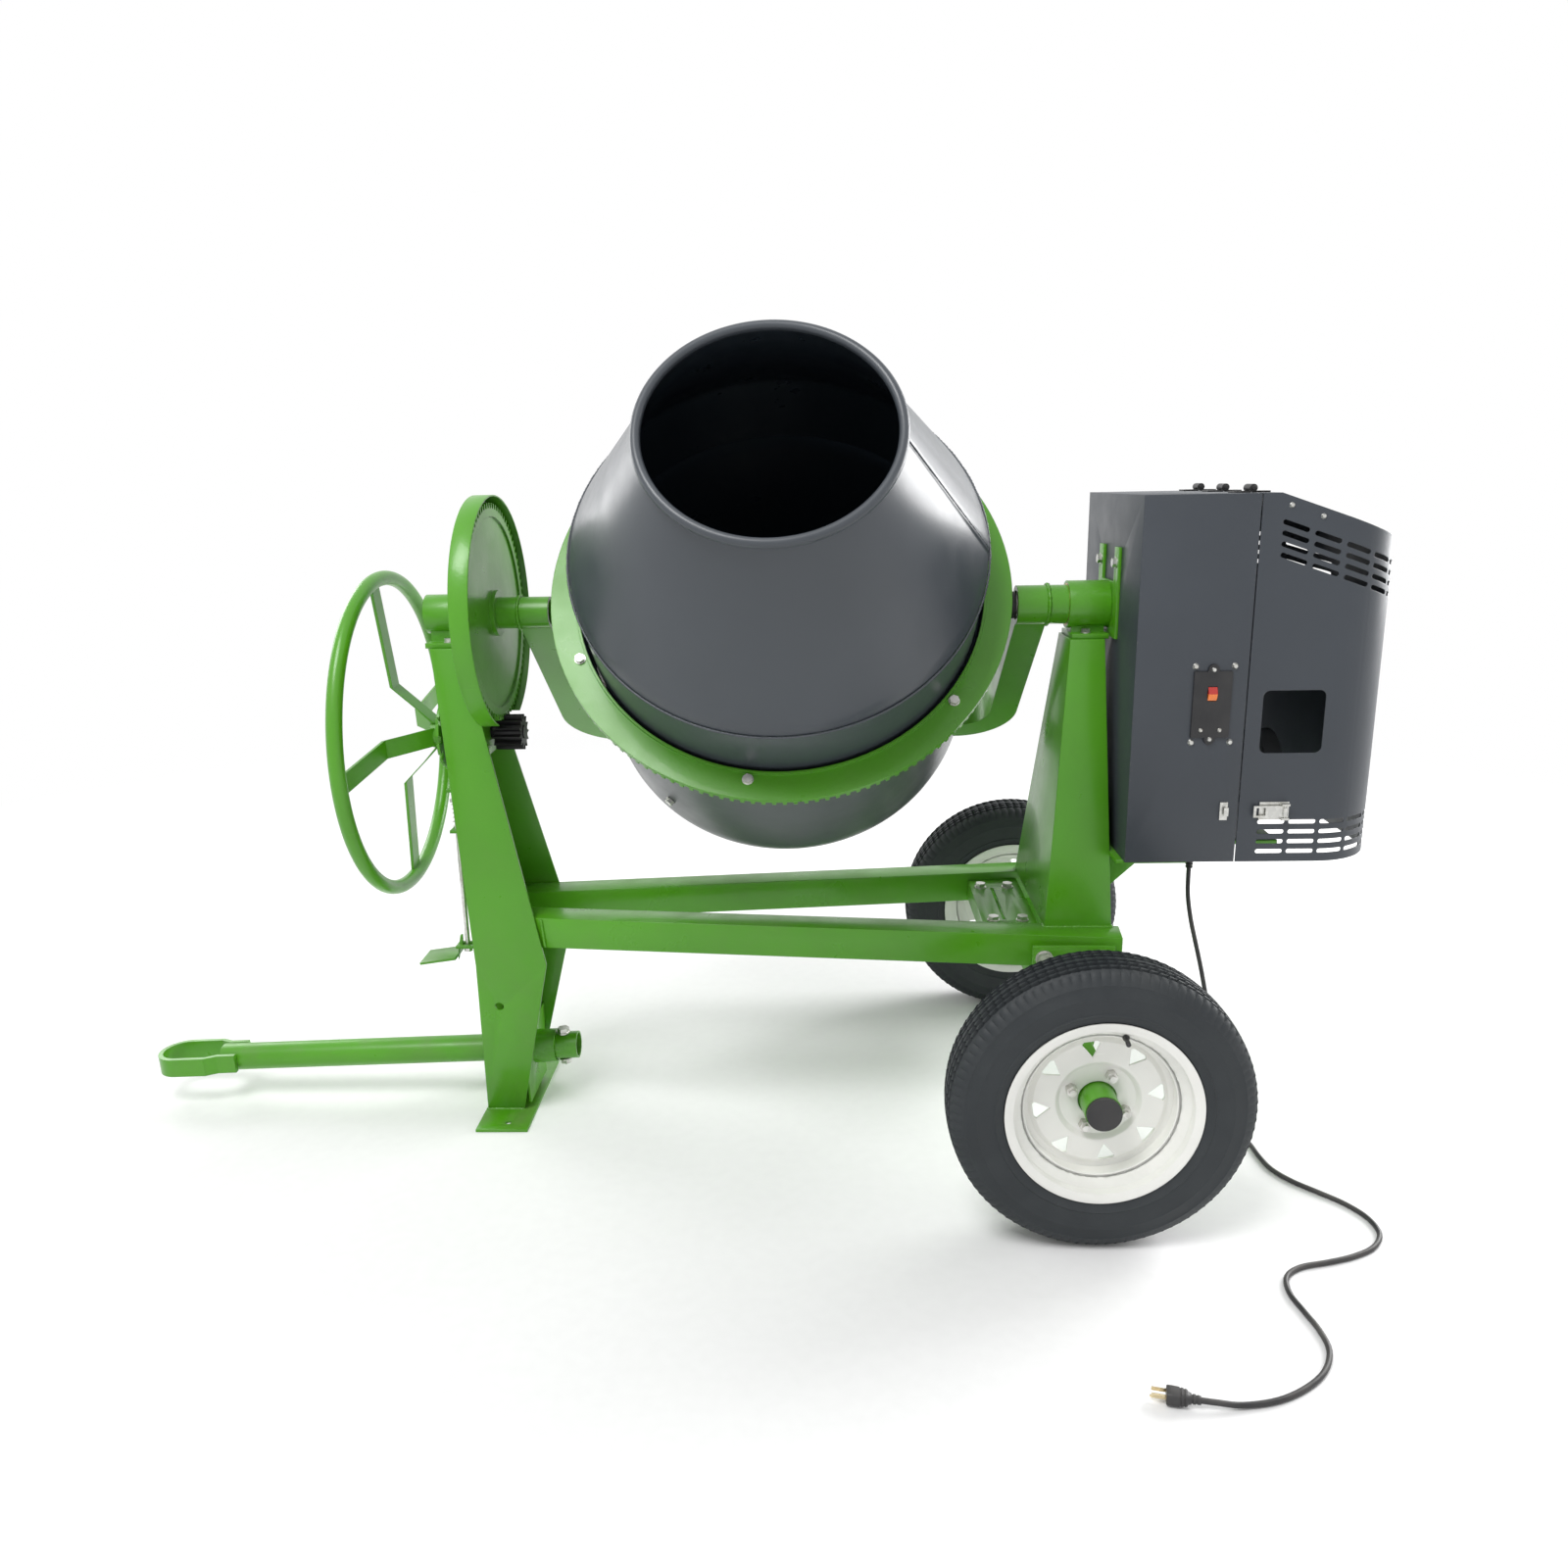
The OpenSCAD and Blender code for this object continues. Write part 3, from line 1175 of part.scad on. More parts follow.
module rim(side) {
    r = bead_d / 2 - gap / 2;
    f = r + 13.5;
    w = tyre_w / 122;
    half = [[f, 56.5 * w], [f, 53.5 * w], [r + 2, 53 * w], [r, 51 * w], [r, 34 * w], [r - 22, 26 * w]];
    inner = [[r - 25, 24 * w], [r - 3, 36 * w], [r - 3, 53 * w], [f - 1, 56.5 * w]];
    color("whitesmoke") at_wheel(side) difference() {
        union() {
            rotate_extrude() polygon(concat(half, [for (i = [5:-1:0]) [half[i][0], -half[i][1]]],
                [for (i = [3:-1:0]) [inner[i][0], -inner[i][1]]], inner));
            // dished centre disc
            rotate_extrude()
                polygon([[34, 0], [66, 0], [74, 8], [112, 8], [120, 2], [r - 24, 2], [r - 24, -2],
                [118, -2], [110, 4], [76, 4], [68, -4], [34, -4]]);
        }
        for (i = [0:7]) rotate([0, 0, 9 + 45 * i]) translate([98, 0, -10]) linear_extrude(30)
            polygon([[-15, 0], [11, -16], [15, -12], [15, 12], [11, 16]]);
        for (i = [0:3]) rotate([0, 0, wheel_nut_turn + 90 * i]) translate([wheel_pcd / 2, 0, -10])
            cylinder(h = 20, r = 6.2);
    }
}
wheel_nut_turn = 66;
module hub(side) {
    color(green) at_wheel(side) {
        difference() {
            union() {
                translate([0, 0, hub_in]) cylinder(h = hub_out - hub_in, r = 31.5);
                translate([0, 0, -14]) cylinder(h = 10, r = 66);
            }
            translate([0, 0, hub_in - 1]) cylinder(h = 200, r = spindle_d / 2 + run_fit);
            translate([0, 0, hub_out - 19]) cylinder(h = 40, r = 26);
            for (i = [0:3]) rotate([0, 0, wheel_nut_turn + 90 * i]) translate([wheel_pcd / 2, 0, -20])
                cylinder(h = 20, r = 6);
        }
    }
    color(black) at_wheel(side) {
        translate([0, 0, hub_out]) cylinder(h = 7.5, r = 30);
        translate([0, 0, hub_out - 7]) cylinder(h = 7 + eps, r = 26);
    }
}
module wheel_nuts(side) {
    color(zinc) at_wheel(side) for (i = [0:3]) rotate([0, 0, wheel_nut_turn + 90 * i])
        translate([wheel_pcd / 2, 0, 0]) {
        cylinder(h = 14, r = 10.5, $fn = 6);
        translate([0, 0, -16]) cylinder(h = 36, r = 6);
    }
}
module near_tyre() tyre(-1);
module near_rim() rim(-1);
module near_hub() hub(-1);
module near_wheel_nuts() wheel_nuts(-1);
module far_tyre() tyre(1);
module far_rim() rim(1);
module far_hub() hub(1);
module far_wheel_nuts() wheel_nuts(1);

// ---- build ----

stand_pedestal();
stand_foot();
tow_sleeve();
tow_bar();
rails();
cross_plate();
column();
motor_platform();
axle_brackets();
axle();
frame_bolts();
left_housing();
right_housing();
trunnion_bushes();
gear_guard();
handwheel_bearing();
box_bracket();
drive_box();
box_hinges();
box_fittings();
switch_plate();
motor();
drive_belt();
cord_gland();
power_cord();
plug();
bail();
left_trunnion();
right_trunnion();
tilt_gear();
shaft_bearings();
drum_bowl();
drum_cone();
ring_gear();
drum_bolts();
mixing_paddles();
drum_spindle();
drive_shaft();
drive_pinion();
drive_pulley();
motor_pulley();
hood();
hood_fittings();
hood_latch();
rocker_switch();
handwheel();
tilt_pinion();
lock_plate();
lock_rod();
lock_pedal();
lock_guides();
lock_spring();
near_tyre();
near_rim();
near_hub();
near_wheel_nuts();
far_tyre();
far_rim();
far_hub();
far_wheel_nuts();
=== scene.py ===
import json
import math

import bmesh
import bpy
from mathutils import Matrix, Vector, noise

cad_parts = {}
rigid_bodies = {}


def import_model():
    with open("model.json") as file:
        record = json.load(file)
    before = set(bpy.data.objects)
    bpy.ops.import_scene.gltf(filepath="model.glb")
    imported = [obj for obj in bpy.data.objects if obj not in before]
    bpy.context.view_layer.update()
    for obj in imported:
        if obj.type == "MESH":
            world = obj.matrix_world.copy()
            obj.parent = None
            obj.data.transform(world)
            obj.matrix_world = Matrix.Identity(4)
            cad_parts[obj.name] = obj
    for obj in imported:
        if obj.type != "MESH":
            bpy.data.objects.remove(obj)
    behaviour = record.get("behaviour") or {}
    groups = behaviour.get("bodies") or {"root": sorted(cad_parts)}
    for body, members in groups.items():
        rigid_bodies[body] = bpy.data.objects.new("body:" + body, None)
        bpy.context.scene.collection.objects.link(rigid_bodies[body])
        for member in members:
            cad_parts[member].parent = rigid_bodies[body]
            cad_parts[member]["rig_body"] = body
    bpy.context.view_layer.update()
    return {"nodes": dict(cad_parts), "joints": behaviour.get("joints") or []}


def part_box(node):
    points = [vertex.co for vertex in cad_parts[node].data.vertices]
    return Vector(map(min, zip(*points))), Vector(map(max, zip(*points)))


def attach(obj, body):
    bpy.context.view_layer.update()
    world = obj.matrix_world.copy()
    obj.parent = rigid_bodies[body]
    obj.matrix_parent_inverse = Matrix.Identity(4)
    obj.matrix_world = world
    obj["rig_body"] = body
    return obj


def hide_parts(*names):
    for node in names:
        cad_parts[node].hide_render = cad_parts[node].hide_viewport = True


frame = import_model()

axle_low, axle_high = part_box("axle")
axle_x = (axle_low.x + axle_high.x) / 2
axle_z = (axle_low.z + axle_high.z) / 2
joints = {j["name"]: j for j in frame["joints"]}


def from_axle(x, y, z):
    """A point measured along X from the wheel axle and up from the ground, in metres."""
    return Vector((axle_x + x, y, z))


# ---- Camera ----
# A person with a wide lens stands a little to the left of the drum, at chest height,
# and looks slightly down at the machine.
camera_data = bpy.data.cameras.new("camera")
camera_data.lens = 27.17
camera_data.sensor_width = 36
camera_data.clip_end = 200
camera = bpy.data.objects.new("camera", camera_data)
bpy.context.scene.collection.objects.link(camera)
bpy.context.scene.camera = camera
look_right = Vector((0.99938, 0.02941, -0.01859))
look_down = Vector((-0.01067, -0.24966, -0.96828))
look_along = Vector((-0.0331, 0.9679, -0.2492))
turn = Matrix((look_right, -look_down, -look_along)).transposed()
eye = from_axle(-0.4681, -2.3543, 1.3099)
camera.matrix_world = Matrix.Translation(eye) @ turn.to_4x4()


# ---- Lead ----
# A 9 mm flexible lead in black rubber leaves the floor of the motor box through a strain
# relief, hangs to the ground behind the near wheel and lies in loose bends to its plug.
lead_route = [
    (0.255, -0.100, 0.556), (0.255, -0.100, 0.530), (0.257, -0.100, 0.490), (0.266, -0.100, 0.440),
    (0.280, -0.101, 0.385), (0.294, -0.102, 0.330), (0.307, -0.104, 0.270), (0.318, -0.108, 0.210),
    (0.329, -0.114, 0.150), (0.340, -0.123, 0.095), (0.352, -0.138, 0.048), (0.364, -0.160, 0.017),
    (0.373, -0.188, 0.006), (0.378, -0.222, 0.005), (0.380, -0.262, 0.005), (0.388, -0.305, 0.005),
    (0.412, -0.345, 0.005), (0.446, -0.380, 0.005), (0.480, -0.417, 0.005), (0.502, -0.460, 0.005),
    (0.502, -0.505, 0.005), (0.475, -0.543, 0.005), (0.430, -0.568, 0.005), (0.380, -0.584, 0.005),
    (0.330, -0.597, 0.005), (0.297, -0.622, 0.005), (0.286, -0.662, 0.005), (0.292, -0.705, 0.005),
    (0.299, -0.750, 0.005), (0.296, -0.795, 0.005), (0.272, -0.838, 0.005), (0.232, -0.872, 0.005),
    (0.182, -0.897, 0.005), (0.128, -0.908, 0.006), (0.090, -0.909, 0.011), (0.066, -0.907, 0.013)]
lead_diameter = 0.009
plug_heading = 167  # degrees from X


def put(tree, kind, inputs=None, **settings):
    """Adds a node to tree, with its settings and its inputs, each a value or another node's output."""
    made = tree.nodes.new(kind)
    for key, value in settings.items():
        setattr(made, key, value)
    for key, value in (inputs or {}).items():
        if isinstance(value, bpy.types.NodeSocket):
            tree.links.new(value, made.inputs[key])
        else:
            made.inputs[key].default_value = value
    return made


def arith(tree, operation, a, b=0.0, clamp=False):
    """The result of one arithmetic step on values or outputs."""
    return put(tree, "ShaderNodeMath", {0: a, 1: b}, operation=operation, use_clamp=clamp).outputs[0]


def grade(tree, value, low, high, to_low=0.0, to_high=1.0):
    """value spread from the range low to high over to_low to to_high, and held at the ends."""
    made = put(tree, "ShaderNodeMapRange", {0: value, 1: low, 2: high, 3: to_low, 4: to_high})
    return made.outputs[0]


def blend_colours(tree, amount, a, b):
    """Two colours mixed by amount."""
    return put(tree, "ShaderNodeMix", {0: amount, 6: a, 7: b}, data_type="RGBA").outputs[2]


def cloud(tree, where, scale, detail=2.0, rough=0.5):
    """Soft noise from 0 to 1 over the piece."""
    made = put(tree, "ShaderNodeTexNoise",
               {"Vector": where, "Scale": scale, "Detail": detail, "Roughness": rough})
    return made.outputs[0]


def new_finish(name, inputs):
    """A node group that turns its inputs into a Color, a Roughness and a Normal."""
    group = bpy.data.node_groups.new(name, "ShaderNodeTree")
    for label, kind, value in inputs:
        socket = group.interface.new_socket(label, in_out="INPUT", socket_type="NodeSocket" + kind)
        socket.default_value = value
    for label, kind in (("Color", "Color"), ("Roughness", "Float"), ("Normal", "Vector")):
        group.interface.new_socket(label, in_out="OUTPUT", socket_type="NodeSocket" + kind)
    return group, group.nodes.new("NodeGroupInput"), group.nodes.new("NodeGroupOutput")


def close_finish(group, end, colour, roughness, normal):
    """Joins the three results to the group's outputs."""
    group.links.new(colour, end.inputs["Color"])
    group.links.new(roughness, end.inputs["Roughness"])
    group.links.new(normal, end.inputs["Normal"])


moulded, start, end = new_finish("moulded_skin", [
    ("Color", "Color", (0.02, 0.02, 0.02, 1)), ("Roughness", "Float", 0.5),
    ("Grain Scale", "Float", 600.0), ("Grain Depth", "Float", 0.0001), ("Dust", "Float", 0.2)])
where = put(moulded, "ShaderNodeTexCoord").outputs["Object"]
patches = cloud(moulded, where, 14.0, 3.0)
grain = cloud(moulded, where, start.outputs["Grain Scale"], 3.0, 0.6)
surface = put(moulded, "ShaderNodeNewGeometry")
facing = put(moulded, "ShaderNodeSeparateXYZ", {0: surface.outputs["Normal"]})
lying = grade(moulded, facing.outputs["Z"], -0.2, 1.0, 0.25, 1.0)
settled = arith(moulded, "MULTIPLY", grade(moulded, patches, 0.4, 0.7), lying)
dust = arith(moulded, "MULTIPLY", settled, start.outputs["Dust"])
dust_colour = (0.30, 0.28, 0.25, 1)
shade = grade(moulded, patches, 0.3, 0.7, 0.82, 1.15)
base = put(moulded, "ShaderNodeVectorMath", {0: start.outputs["Color"], "Scale": shade}, operation="SCALE")
colour = blend_colours(moulded, dust, base.outputs[0], dust_colour)
uneven = grade(moulded, patches, 0.3, 0.7, -0.06, 0.1)
rough = arith(moulded, "ADD", start.outputs["Roughness"], uneven, True)
bump = put(moulded, "ShaderNodeBump",
           {"Height": grain, "Distance": start.outputs["Grain Depth"], "Strength": 1.0})
close_finish(moulded, end, colour, rough, bump.outputs[0])


def material(name, group, metallic=0.0, coat=0.0, coat_roughness=0.1, **values):
    """A material whose colour, roughness and relief come from a finish group with these values."""
    made = bpy.data.materials.new(name)
    made.use_nodes = True
    tree = made.node_tree
    tree.nodes.clear()
    finish = put(tree, "ShaderNodeGroup", node_tree=group)
    for label, value in values.items():
        finish.inputs[label.replace("_", " ").title()].default_value = value
    shader = put(tree, "ShaderNodeBsdfPrincipled", {
        "Base Color": finish.outputs["Color"], "Roughness": finish.outputs["Roughness"],
        "Normal": finish.outputs["Normal"], "Metallic": metallic, "Coat Weight": coat,
        "Coat Roughness": coat_roughness})
    put(tree, "ShaderNodeOutputMaterial", {"Surface": shader.outputs[0]})
    return made


def piece(name, vertices, faces, finish, slot, body, sharp=35, *replaced):
    """A mesh piece of the machine that moves with a body and stands for the CAD nodes named last."""
    mesh = bpy.data.meshes.new(name)
    mesh.from_pydata([tuple(v) for v in vertices], [], faces)
    mesh.update()
    mesh.validate()
    made = bpy.data.objects.new(name, mesh)
    bpy.context.scene.collection.objects.link(made)
    mesh.materials.append(finish)
    mesh.shade_smooth()
    mesh.set_sharp_from_angle(angle=math.radians(sharp))
    if replaced:
        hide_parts(*replaced)
    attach(made, body)
    return made


def turned(profile, steps, place, closed=False):
    """Vertices and faces of a profile of (radius, height) points turned about the local Z axis."""
    vertices = []
    for r, z in profile:
        for k in range(steps):
            angle = 2 * math.pi * k / steps
            vertices.append(place @ Vector((r * math.cos(angle), r * math.sin(angle), z)))
    rows = len(profile)
    faces = []
    for i in range(rows if closed else rows - 1):
        a, b = i * steps, (i + 1) % rows * steps
        faces += [(a + k, a + (k + 1) % steps, b + (k + 1) % steps, b + k) for k in range(steps)]
    return vertices, faces


lead_rubber = material("lead_rubber", moulded, Color=(0.018, 0.018, 0.02, 1), Roughness=0.48,
                       Grain_Scale=900.0, Grain_Depth=0.00006, Dust=0.25)

lead_points = [from_axle(*p) for p in lead_route]


def smooth_line(points, steps):
    """A smooth curve through the points, as a closer list of points."""
    line = []
    for i in range(len(points) - 1):
        a, b = points[max(i - 1, 0)], points[i]
        c, d = points[i + 1], points[min(i + 2, len(points) - 1)]
        for k in range(steps):
            t = k / steps
            line.append(0.5 * (2 * b + (c - a) * t + (2 * a - 5 * b + 4 * c - d) * t * t
                               + (3 * b - a - 3 * c + d) * t * t * t))
    return line + [points[-1]]


lead_line = smooth_line(lead_points, 5)
lead_curve = bpy.data.curves.new("power_lead", "CURVE")
lead_curve.dimensions = "3D"
lead_curve.bevel_depth = lead_diameter / 2
lead_curve.bevel_resolution = 4
lead_curve.use_fill_caps = True
spline = lead_curve.splines.new("POLY")
spline.points.add(len(lead_line) - 1)
for point, place in zip(spline.points, lead_line):
    point.co = (*place, 1)
lead = bpy.data.objects.new("power_lead", lead_curve)
bpy.context.scene.collection.objects.link(lead)
lead_curve.materials.append(lead_rubber)

# ---- Plug ----
# The plug is moulded in one with the lead's end, in black rubber with finger ridges,
# around two flat brass blades and a round earth pin.
plug_place = Matrix.Translation(lead_points[-1]) @ Matrix.Rotation(math.radians(plug_heading), 4, "Z")
plug_sections = [  # distance along the plug, half width, half height, squareness
    (-0.001, 0.0058, 0.0058, 2.0), (0.000, 0.0064, 0.0064, 2.0), (0.004, 0.0066, 0.0066, 2.0),
    (0.0045, 0.0058, 0.0058, 2.0), (0.006, 0.0058, 0.0058, 2.0), (0.0065, 0.0070, 0.0070, 2.0),
    (0.010, 0.0072, 0.0072, 2.0), (0.0105, 0.0062, 0.0062, 2.0), (0.012, 0.0062, 0.0062, 2.0),
    (0.0125, 0.0076, 0.0076, 2.2), (0.016, 0.0086, 0.0080, 2.4), (0.0185, 0.0112, 0.0098, 3.0),
    (0.021, 0.0116, 0.0100, 3.4), (0.0215, 0.0108, 0.0094, 3.4), (0.023, 0.0108, 0.0094, 3.4),
    (0.0235, 0.0119, 0.0103, 3.4), (0.0265, 0.0121, 0.0105, 3.6), (0.027, 0.0112, 0.0097, 3.6),
    (0.0285, 0.0112, 0.0097, 3.6), (0.029, 0.0123, 0.0107, 3.8), (0.040, 0.0125, 0.0110, 4.0),
    (0.0455, 0.0124, 0.0109, 4.0), (0.047, 0.0116, 0.0101, 4.0)]
plug_sides = 28


def squared_ring(along, half_y, half_z, power):
    """A ring of points across X whose outline lies between an ellipse and a rectangle."""
    ring = []
    for k in range(plug_sides):
        angle = 2 * math.pi * k / plug_sides
        c, s = math.cos(angle), math.sin(angle)
        ring.append(Vector((along, half_y * math.copysign(abs(c) ** (2 / power), c),
                            half_z * math.copysign(abs(s) ** (2 / power), s))))
    return ring


def skin(rings):
    """Vertices and faces of a closed skin over rings that all have as many points."""
    n = len(rings[0])
    faces = [tuple(range(n))[::-1]]
    for i in range(len(rings) - 1):
        a, b = i * n, (i + 1) * n
        faces += [(a + k, a + (k + 1) % n, b + (k + 1) % n, b + k) for k in range(n)]
    faces.append(tuple((len(rings) - 1) * n + k for k in range(n)))
    return [v for ring in rings for v in ring], faces


vertices, faces = skin([squared_ring(*section) for section in plug_sections])
plug_rubber = material("plug_rubber", moulded, Color=(0.022, 0.022, 0.024, 1), Roughness=0.42,
                       Grain_Scale=1400.0, Grain_Depth=0.00004, Dust=0.15)
plug = piece("plug_body", [plug_place @ v for v in vertices], faces, plug_rubber,
             "rubber", "frame", 30, "plug")

metal, start, end = new_finish("worked_metal", [
    ("Color", "Color", (0.6, 0.6, 0.58, 1)), ("Roughness", "Float", 0.35), ("Spangle", "Float", 60.0),
    ("Tarnish", "Float", 0.2), ("Tarnish Color", "Color", (0.2, 0.16, 0.1, 1)), ("Relief", "Float", 0.00004)])
where = put(metal, "ShaderNodeTexCoord").outputs["Object"]
crystals = put(metal, "ShaderNodeTexVoronoi", {"Vector": where, "Scale": start.outputs["Spangle"]})
patches = cloud(metal, where, 28.0, 4.0, 0.6)
fine = cloud(metal, where, 900.0, 2.0)
tint = put(metal, "ShaderNodeSeparateColor", {0: crystals.outputs["Color"]}).outputs[0]
shade = grade(metal, tint, 0.0, 1.0, 0.86, 1.08)
base = put(metal, "ShaderNodeVectorMath", {0: start.outputs["Color"], "Scale": shade}, operation="SCALE")
stain = arith(metal, "MULTIPLY", grade(metal, patches, 0.45, 0.75), start.outputs["Tarnish"])
colour = blend_colours(metal, stain, base.outputs[0], start.outputs["Tarnish Color"])
uneven = grade(metal, patches, 0.3, 0.75, -0.06, 0.18)
rough = arith(metal, "ADD", start.outputs["Roughness"], uneven, True)
bump = put(metal, "ShaderNodeBump",
           {"Height": fine, "Distance": start.outputs["Relief"], "Strength": 1.0})
close_finish(metal, end, colour, rough, bump.outputs[0])
plug_brass = material("plug_brass", metal, metallic=1.0, Color=(0.78, 0.66, 0.42, 1), Roughness=0.28,
                      Spangle=400.0, Tarnish=0.25, Tarnish_Color=(0.30, 0.20, 0.09, 1))


def block(shape, low, high, rounding):
    """Adds a box from corner low to corner high to a bmesh, with its edges rounded."""
    low, high = Vector(low), Vector(high)
    made = bmesh.ops.create_cube(shape, size=1.0, matrix=Matrix.Translation((low + high) / 2)
                                 @ Matrix.Diagonal((*(high - low), 1)))
    corners = set(made["verts"])
    edges = [e for e in shape.edges if e.verts[0] in corners]
    bmesh.ops.bevel(shape, geom=edges, offset=rounding, segments=2, affect="EDGES", profile=0.5)


def rod(shape, start, stop, radius, tip=None):
    """Adds a round bar between two points to a bmesh; tip is the radius at its far end."""
    start, stop = Vector(start), Vector(stop)
    turn = (stop - start).to_track_quat("Z", "Y").to_matrix().to_4x4()
    bmesh.ops.create_cone(shape, cap_ends=True, segments=24, radius1=radius,
                          radius2=radius if tip is None else tip, depth=(stop - start).length,
                          matrix=Matrix.Translation((start + stop) / 2) @ turn)


def from_bmesh(name, shape, place, finish, slot, body, sharp=35, *replaced):
    """A piece made from a bmesh, moved to its place."""
    shape.transform(place)
    shape.verts.index_update()
    vertices = [v.co.copy() for v in shape.verts]
    faces = [tuple(v.index for v in f.verts) for f in shape.faces]
    shape.free()
    return piece(name, vertices, faces, finish, slot, body, sharp, *replaced)


prong_start, blade_end, pin_shoulder, pin_end = 0.046, 0.068, 0.0675, 0.070  # along the plug
blade_y, blade_half = 0.0064, 0.0008
pin_z, pin_radius = -0.006, 0.0024
shape = bmesh.new()
for y in (-blade_y, blade_y):
    block(shape, (prong_start, y - blade_half, -0.001), (blade_end, y + blade_half, 0.005), 0.0006)
rod(shape, (prong_start, 0, pin_z), (pin_shoulder, 0, pin_z), pin_radius)
rod(shape, (pin_shoulder, 0, pin_z), (pin_end, 0, pin_z), pin_radius, tip=0.0014)
prongs = from_bmesh("plug_prongs", shape, plug_place, plug_brass, "zinc", "frame", 35, "plug")
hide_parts("power_cord")
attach(lead, "frame")

# ---- Strain relief ----
# A moulded rubber gland clamps the lead in the box's floor: a nut inside, a collar below
# and a ribbed taper that keeps the lead from kinking.
gland_low, gland_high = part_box("cord_gland")
gland_top = gland_high.z
floor_under = gland_top - 0.015
gland_bore = 0.0046
profile = [(gland_bore, gland_low.z), (0.0068, gland_low.z)]
ribs = 7
taper_top = floor_under - 0.0005
pitch = (taper_top - gland_low.z) / ribs
for i in range(ribs):
    z = gland_low.z + (taper_top - gland_low.z) * i / ribs
    r = 0.0069 + 0.0028 * i / ribs
    profile += [(r, z + 0.1 * pitch), (r + 0.0003, z + 0.55 * pitch), (r - 0.0012, z + 0.62 * pitch),
                (r - 0.0012, z + 0.95 * pitch)]
profile += [(0.0125, floor_under), (0.0130, floor_under + 0.001), (0.0130, floor_under + 0.0065),
            (0.0124, floor_under + 0.0075), (0.0088, floor_under + 0.0078), (0.0088, gland_top - 0.005),
            (0.0128, gland_top - 0.005), (0.0130, gland_top - 0.0005), (0.0120, gland_top),
            (gland_bore, gland_top)]
gland_axis = Matrix.Translation(((gland_low.x + gland_high.x) / 2, (gland_low.y + gland_high.y) / 2, 0))
vertices, faces = turned(profile, 40, gland_axis, True)
piece("strain_relief", vertices, faces, plug_rubber, "rubber", "frame", 40, "cord_gland")

# ---- Stand and foot ----
# The stand is 5 mm plate folded into a tapering channel with its web towards the tow bar.
# It is welded to a flat foot bar, and both are sprayed with glossy green machine paint.
paint, start, end = new_finish("sprayed_paint", [
    ("Color", "Color", (0.1, 0.36, 0.04, 1)), ("Roughness", "Float", 0.3), ("Peel", "Float", 0.0001),
    ("Chips", "Float", 0.3), ("Bare Color", "Color", (0.10, 0.09, 0.08, 1)), ("Grime", "Float", 0.3),
    ("Grime Color", "Color", (0.16, 0.13, 0.10, 1)), ("Rubs", "Float", 0.1)])
where = put(paint, "ShaderNodeTexCoord").outputs["Object"]
surface = put(paint, "ShaderNodeNewGeometry")
soft_edges = put(paint, "ShaderNodeBevel", {"Radius": 0.0022}, samples=4)
broad_edges = put(paint, "ShaderNodeBevel", {"Radius": 0.006}, samples=4)
alike = put(paint, "ShaderNodeVectorMath", {0: broad_edges.outputs[0], 1: surface.outputs["Normal"]},
            operation="DOT_PRODUCT").outputs["Value"]
edge = grade(paint, alike, 0.98, 0.80)
flecks = cloud(paint, where, 160.0, 5.0, 0.7)
broad = cloud(paint, where, 3.2, 3.0)
smears = cloud(paint, where, 11.0, 4.0, 0.6)
knocked = arith(paint, "MULTIPLY", edge, grade(paint, flecks, 0.56, 0.62))
chipped = arith(paint, "MULTIPLY", knocked, start.outputs["Chips"], True)
stretched = put(paint, "ShaderNodeMapping", {0: where, 2: (0.3, 0.2, 0.7), 3: (14.0, 14.0, 260.0)})
scratch = grade(paint, cloud(paint, stretched.outputs[0], 1.0, 2.0, 0.6), 0.70, 0.74)
scuffed = arith(paint, "MULTIPLY", scratch, grade(paint, smears, 0.5, 0.65))
rubs = arith(paint, "MULTIPLY", scuffed, start.outputs["Rubs"], True)
height = put(paint, "ShaderNodeSeparateXYZ", {0: where}).outputs["Z"]
low_down = grade(paint, height, 0.0, 0.7, 1.0, 0.25)
facing = put(paint, "ShaderNodeSeparateXYZ", {0: surface.outputs["Normal"]})
flat = grade(paint, facing.outputs["Z"], -0.3, 1.0, 0.3, 1.0)
smeared = arith(paint, "MULTIPLY", grade(paint, smears, 0.42, 0.78), start.outputs["Grime"])
grime = arith(paint, "MULTIPLY", arith(paint, "MULTIPLY", low_down, flat), smeared, True)
shade = grade(paint, broad, 0.3, 0.7, 0.90, 1.08)
base = put(paint, "ShaderNodeVectorMath", {0: start.outputs["Color"], "Scale": shade}, operation="SCALE")
pale = put(paint, "ShaderNodeVectorMath", {0: start.outputs["Color"], "Scale": 1.7}, operation="SCALE")
rubbed = blend_colours(paint, rubs, base.outputs[0], pale.outputs[0])
dirty = blend_colours(paint, grime, rubbed, start.outputs["Grime Color"])
colour = blend_colours(paint, chipped, dirty, start.outputs["Bare Color"])
uneven = grade(paint, smears, 0.3, 0.75, -0.04, 0.08)
dulled = arith(paint, "ADD", arith(paint, "MULTIPLY", grime, 0.5), arith(paint, "MULTIPLY", chipped, 0.4))
rough = arith(paint, "ADD", arith(paint, "ADD", start.outputs["Roughness"], uneven), dulled, True)
peel = cloud(paint, where, 210.0, 2.0, 0.4)
relief = arith(paint, "SUBTRACT", peel, arith(paint, "MULTIPLY", chipped, 1.5))
bump = put(paint, "ShaderNodeBump", {"Height": relief, "Distance": start.outputs["Peel"], "Strength": 1.0,
                                     "Normal": soft_edges.outputs[0]})
close_finish(paint, end, colour, rough, bump.outputs[0])

green_paint = material("green_paint", paint, coat=0.12, coat_roughness=0.08, Color=(0.080, 0.325, 0.007, 1),
                       Roughness=0.30, Peel=0.00016, Chips=0.55, Grime=0.45, Rubs=0.25)


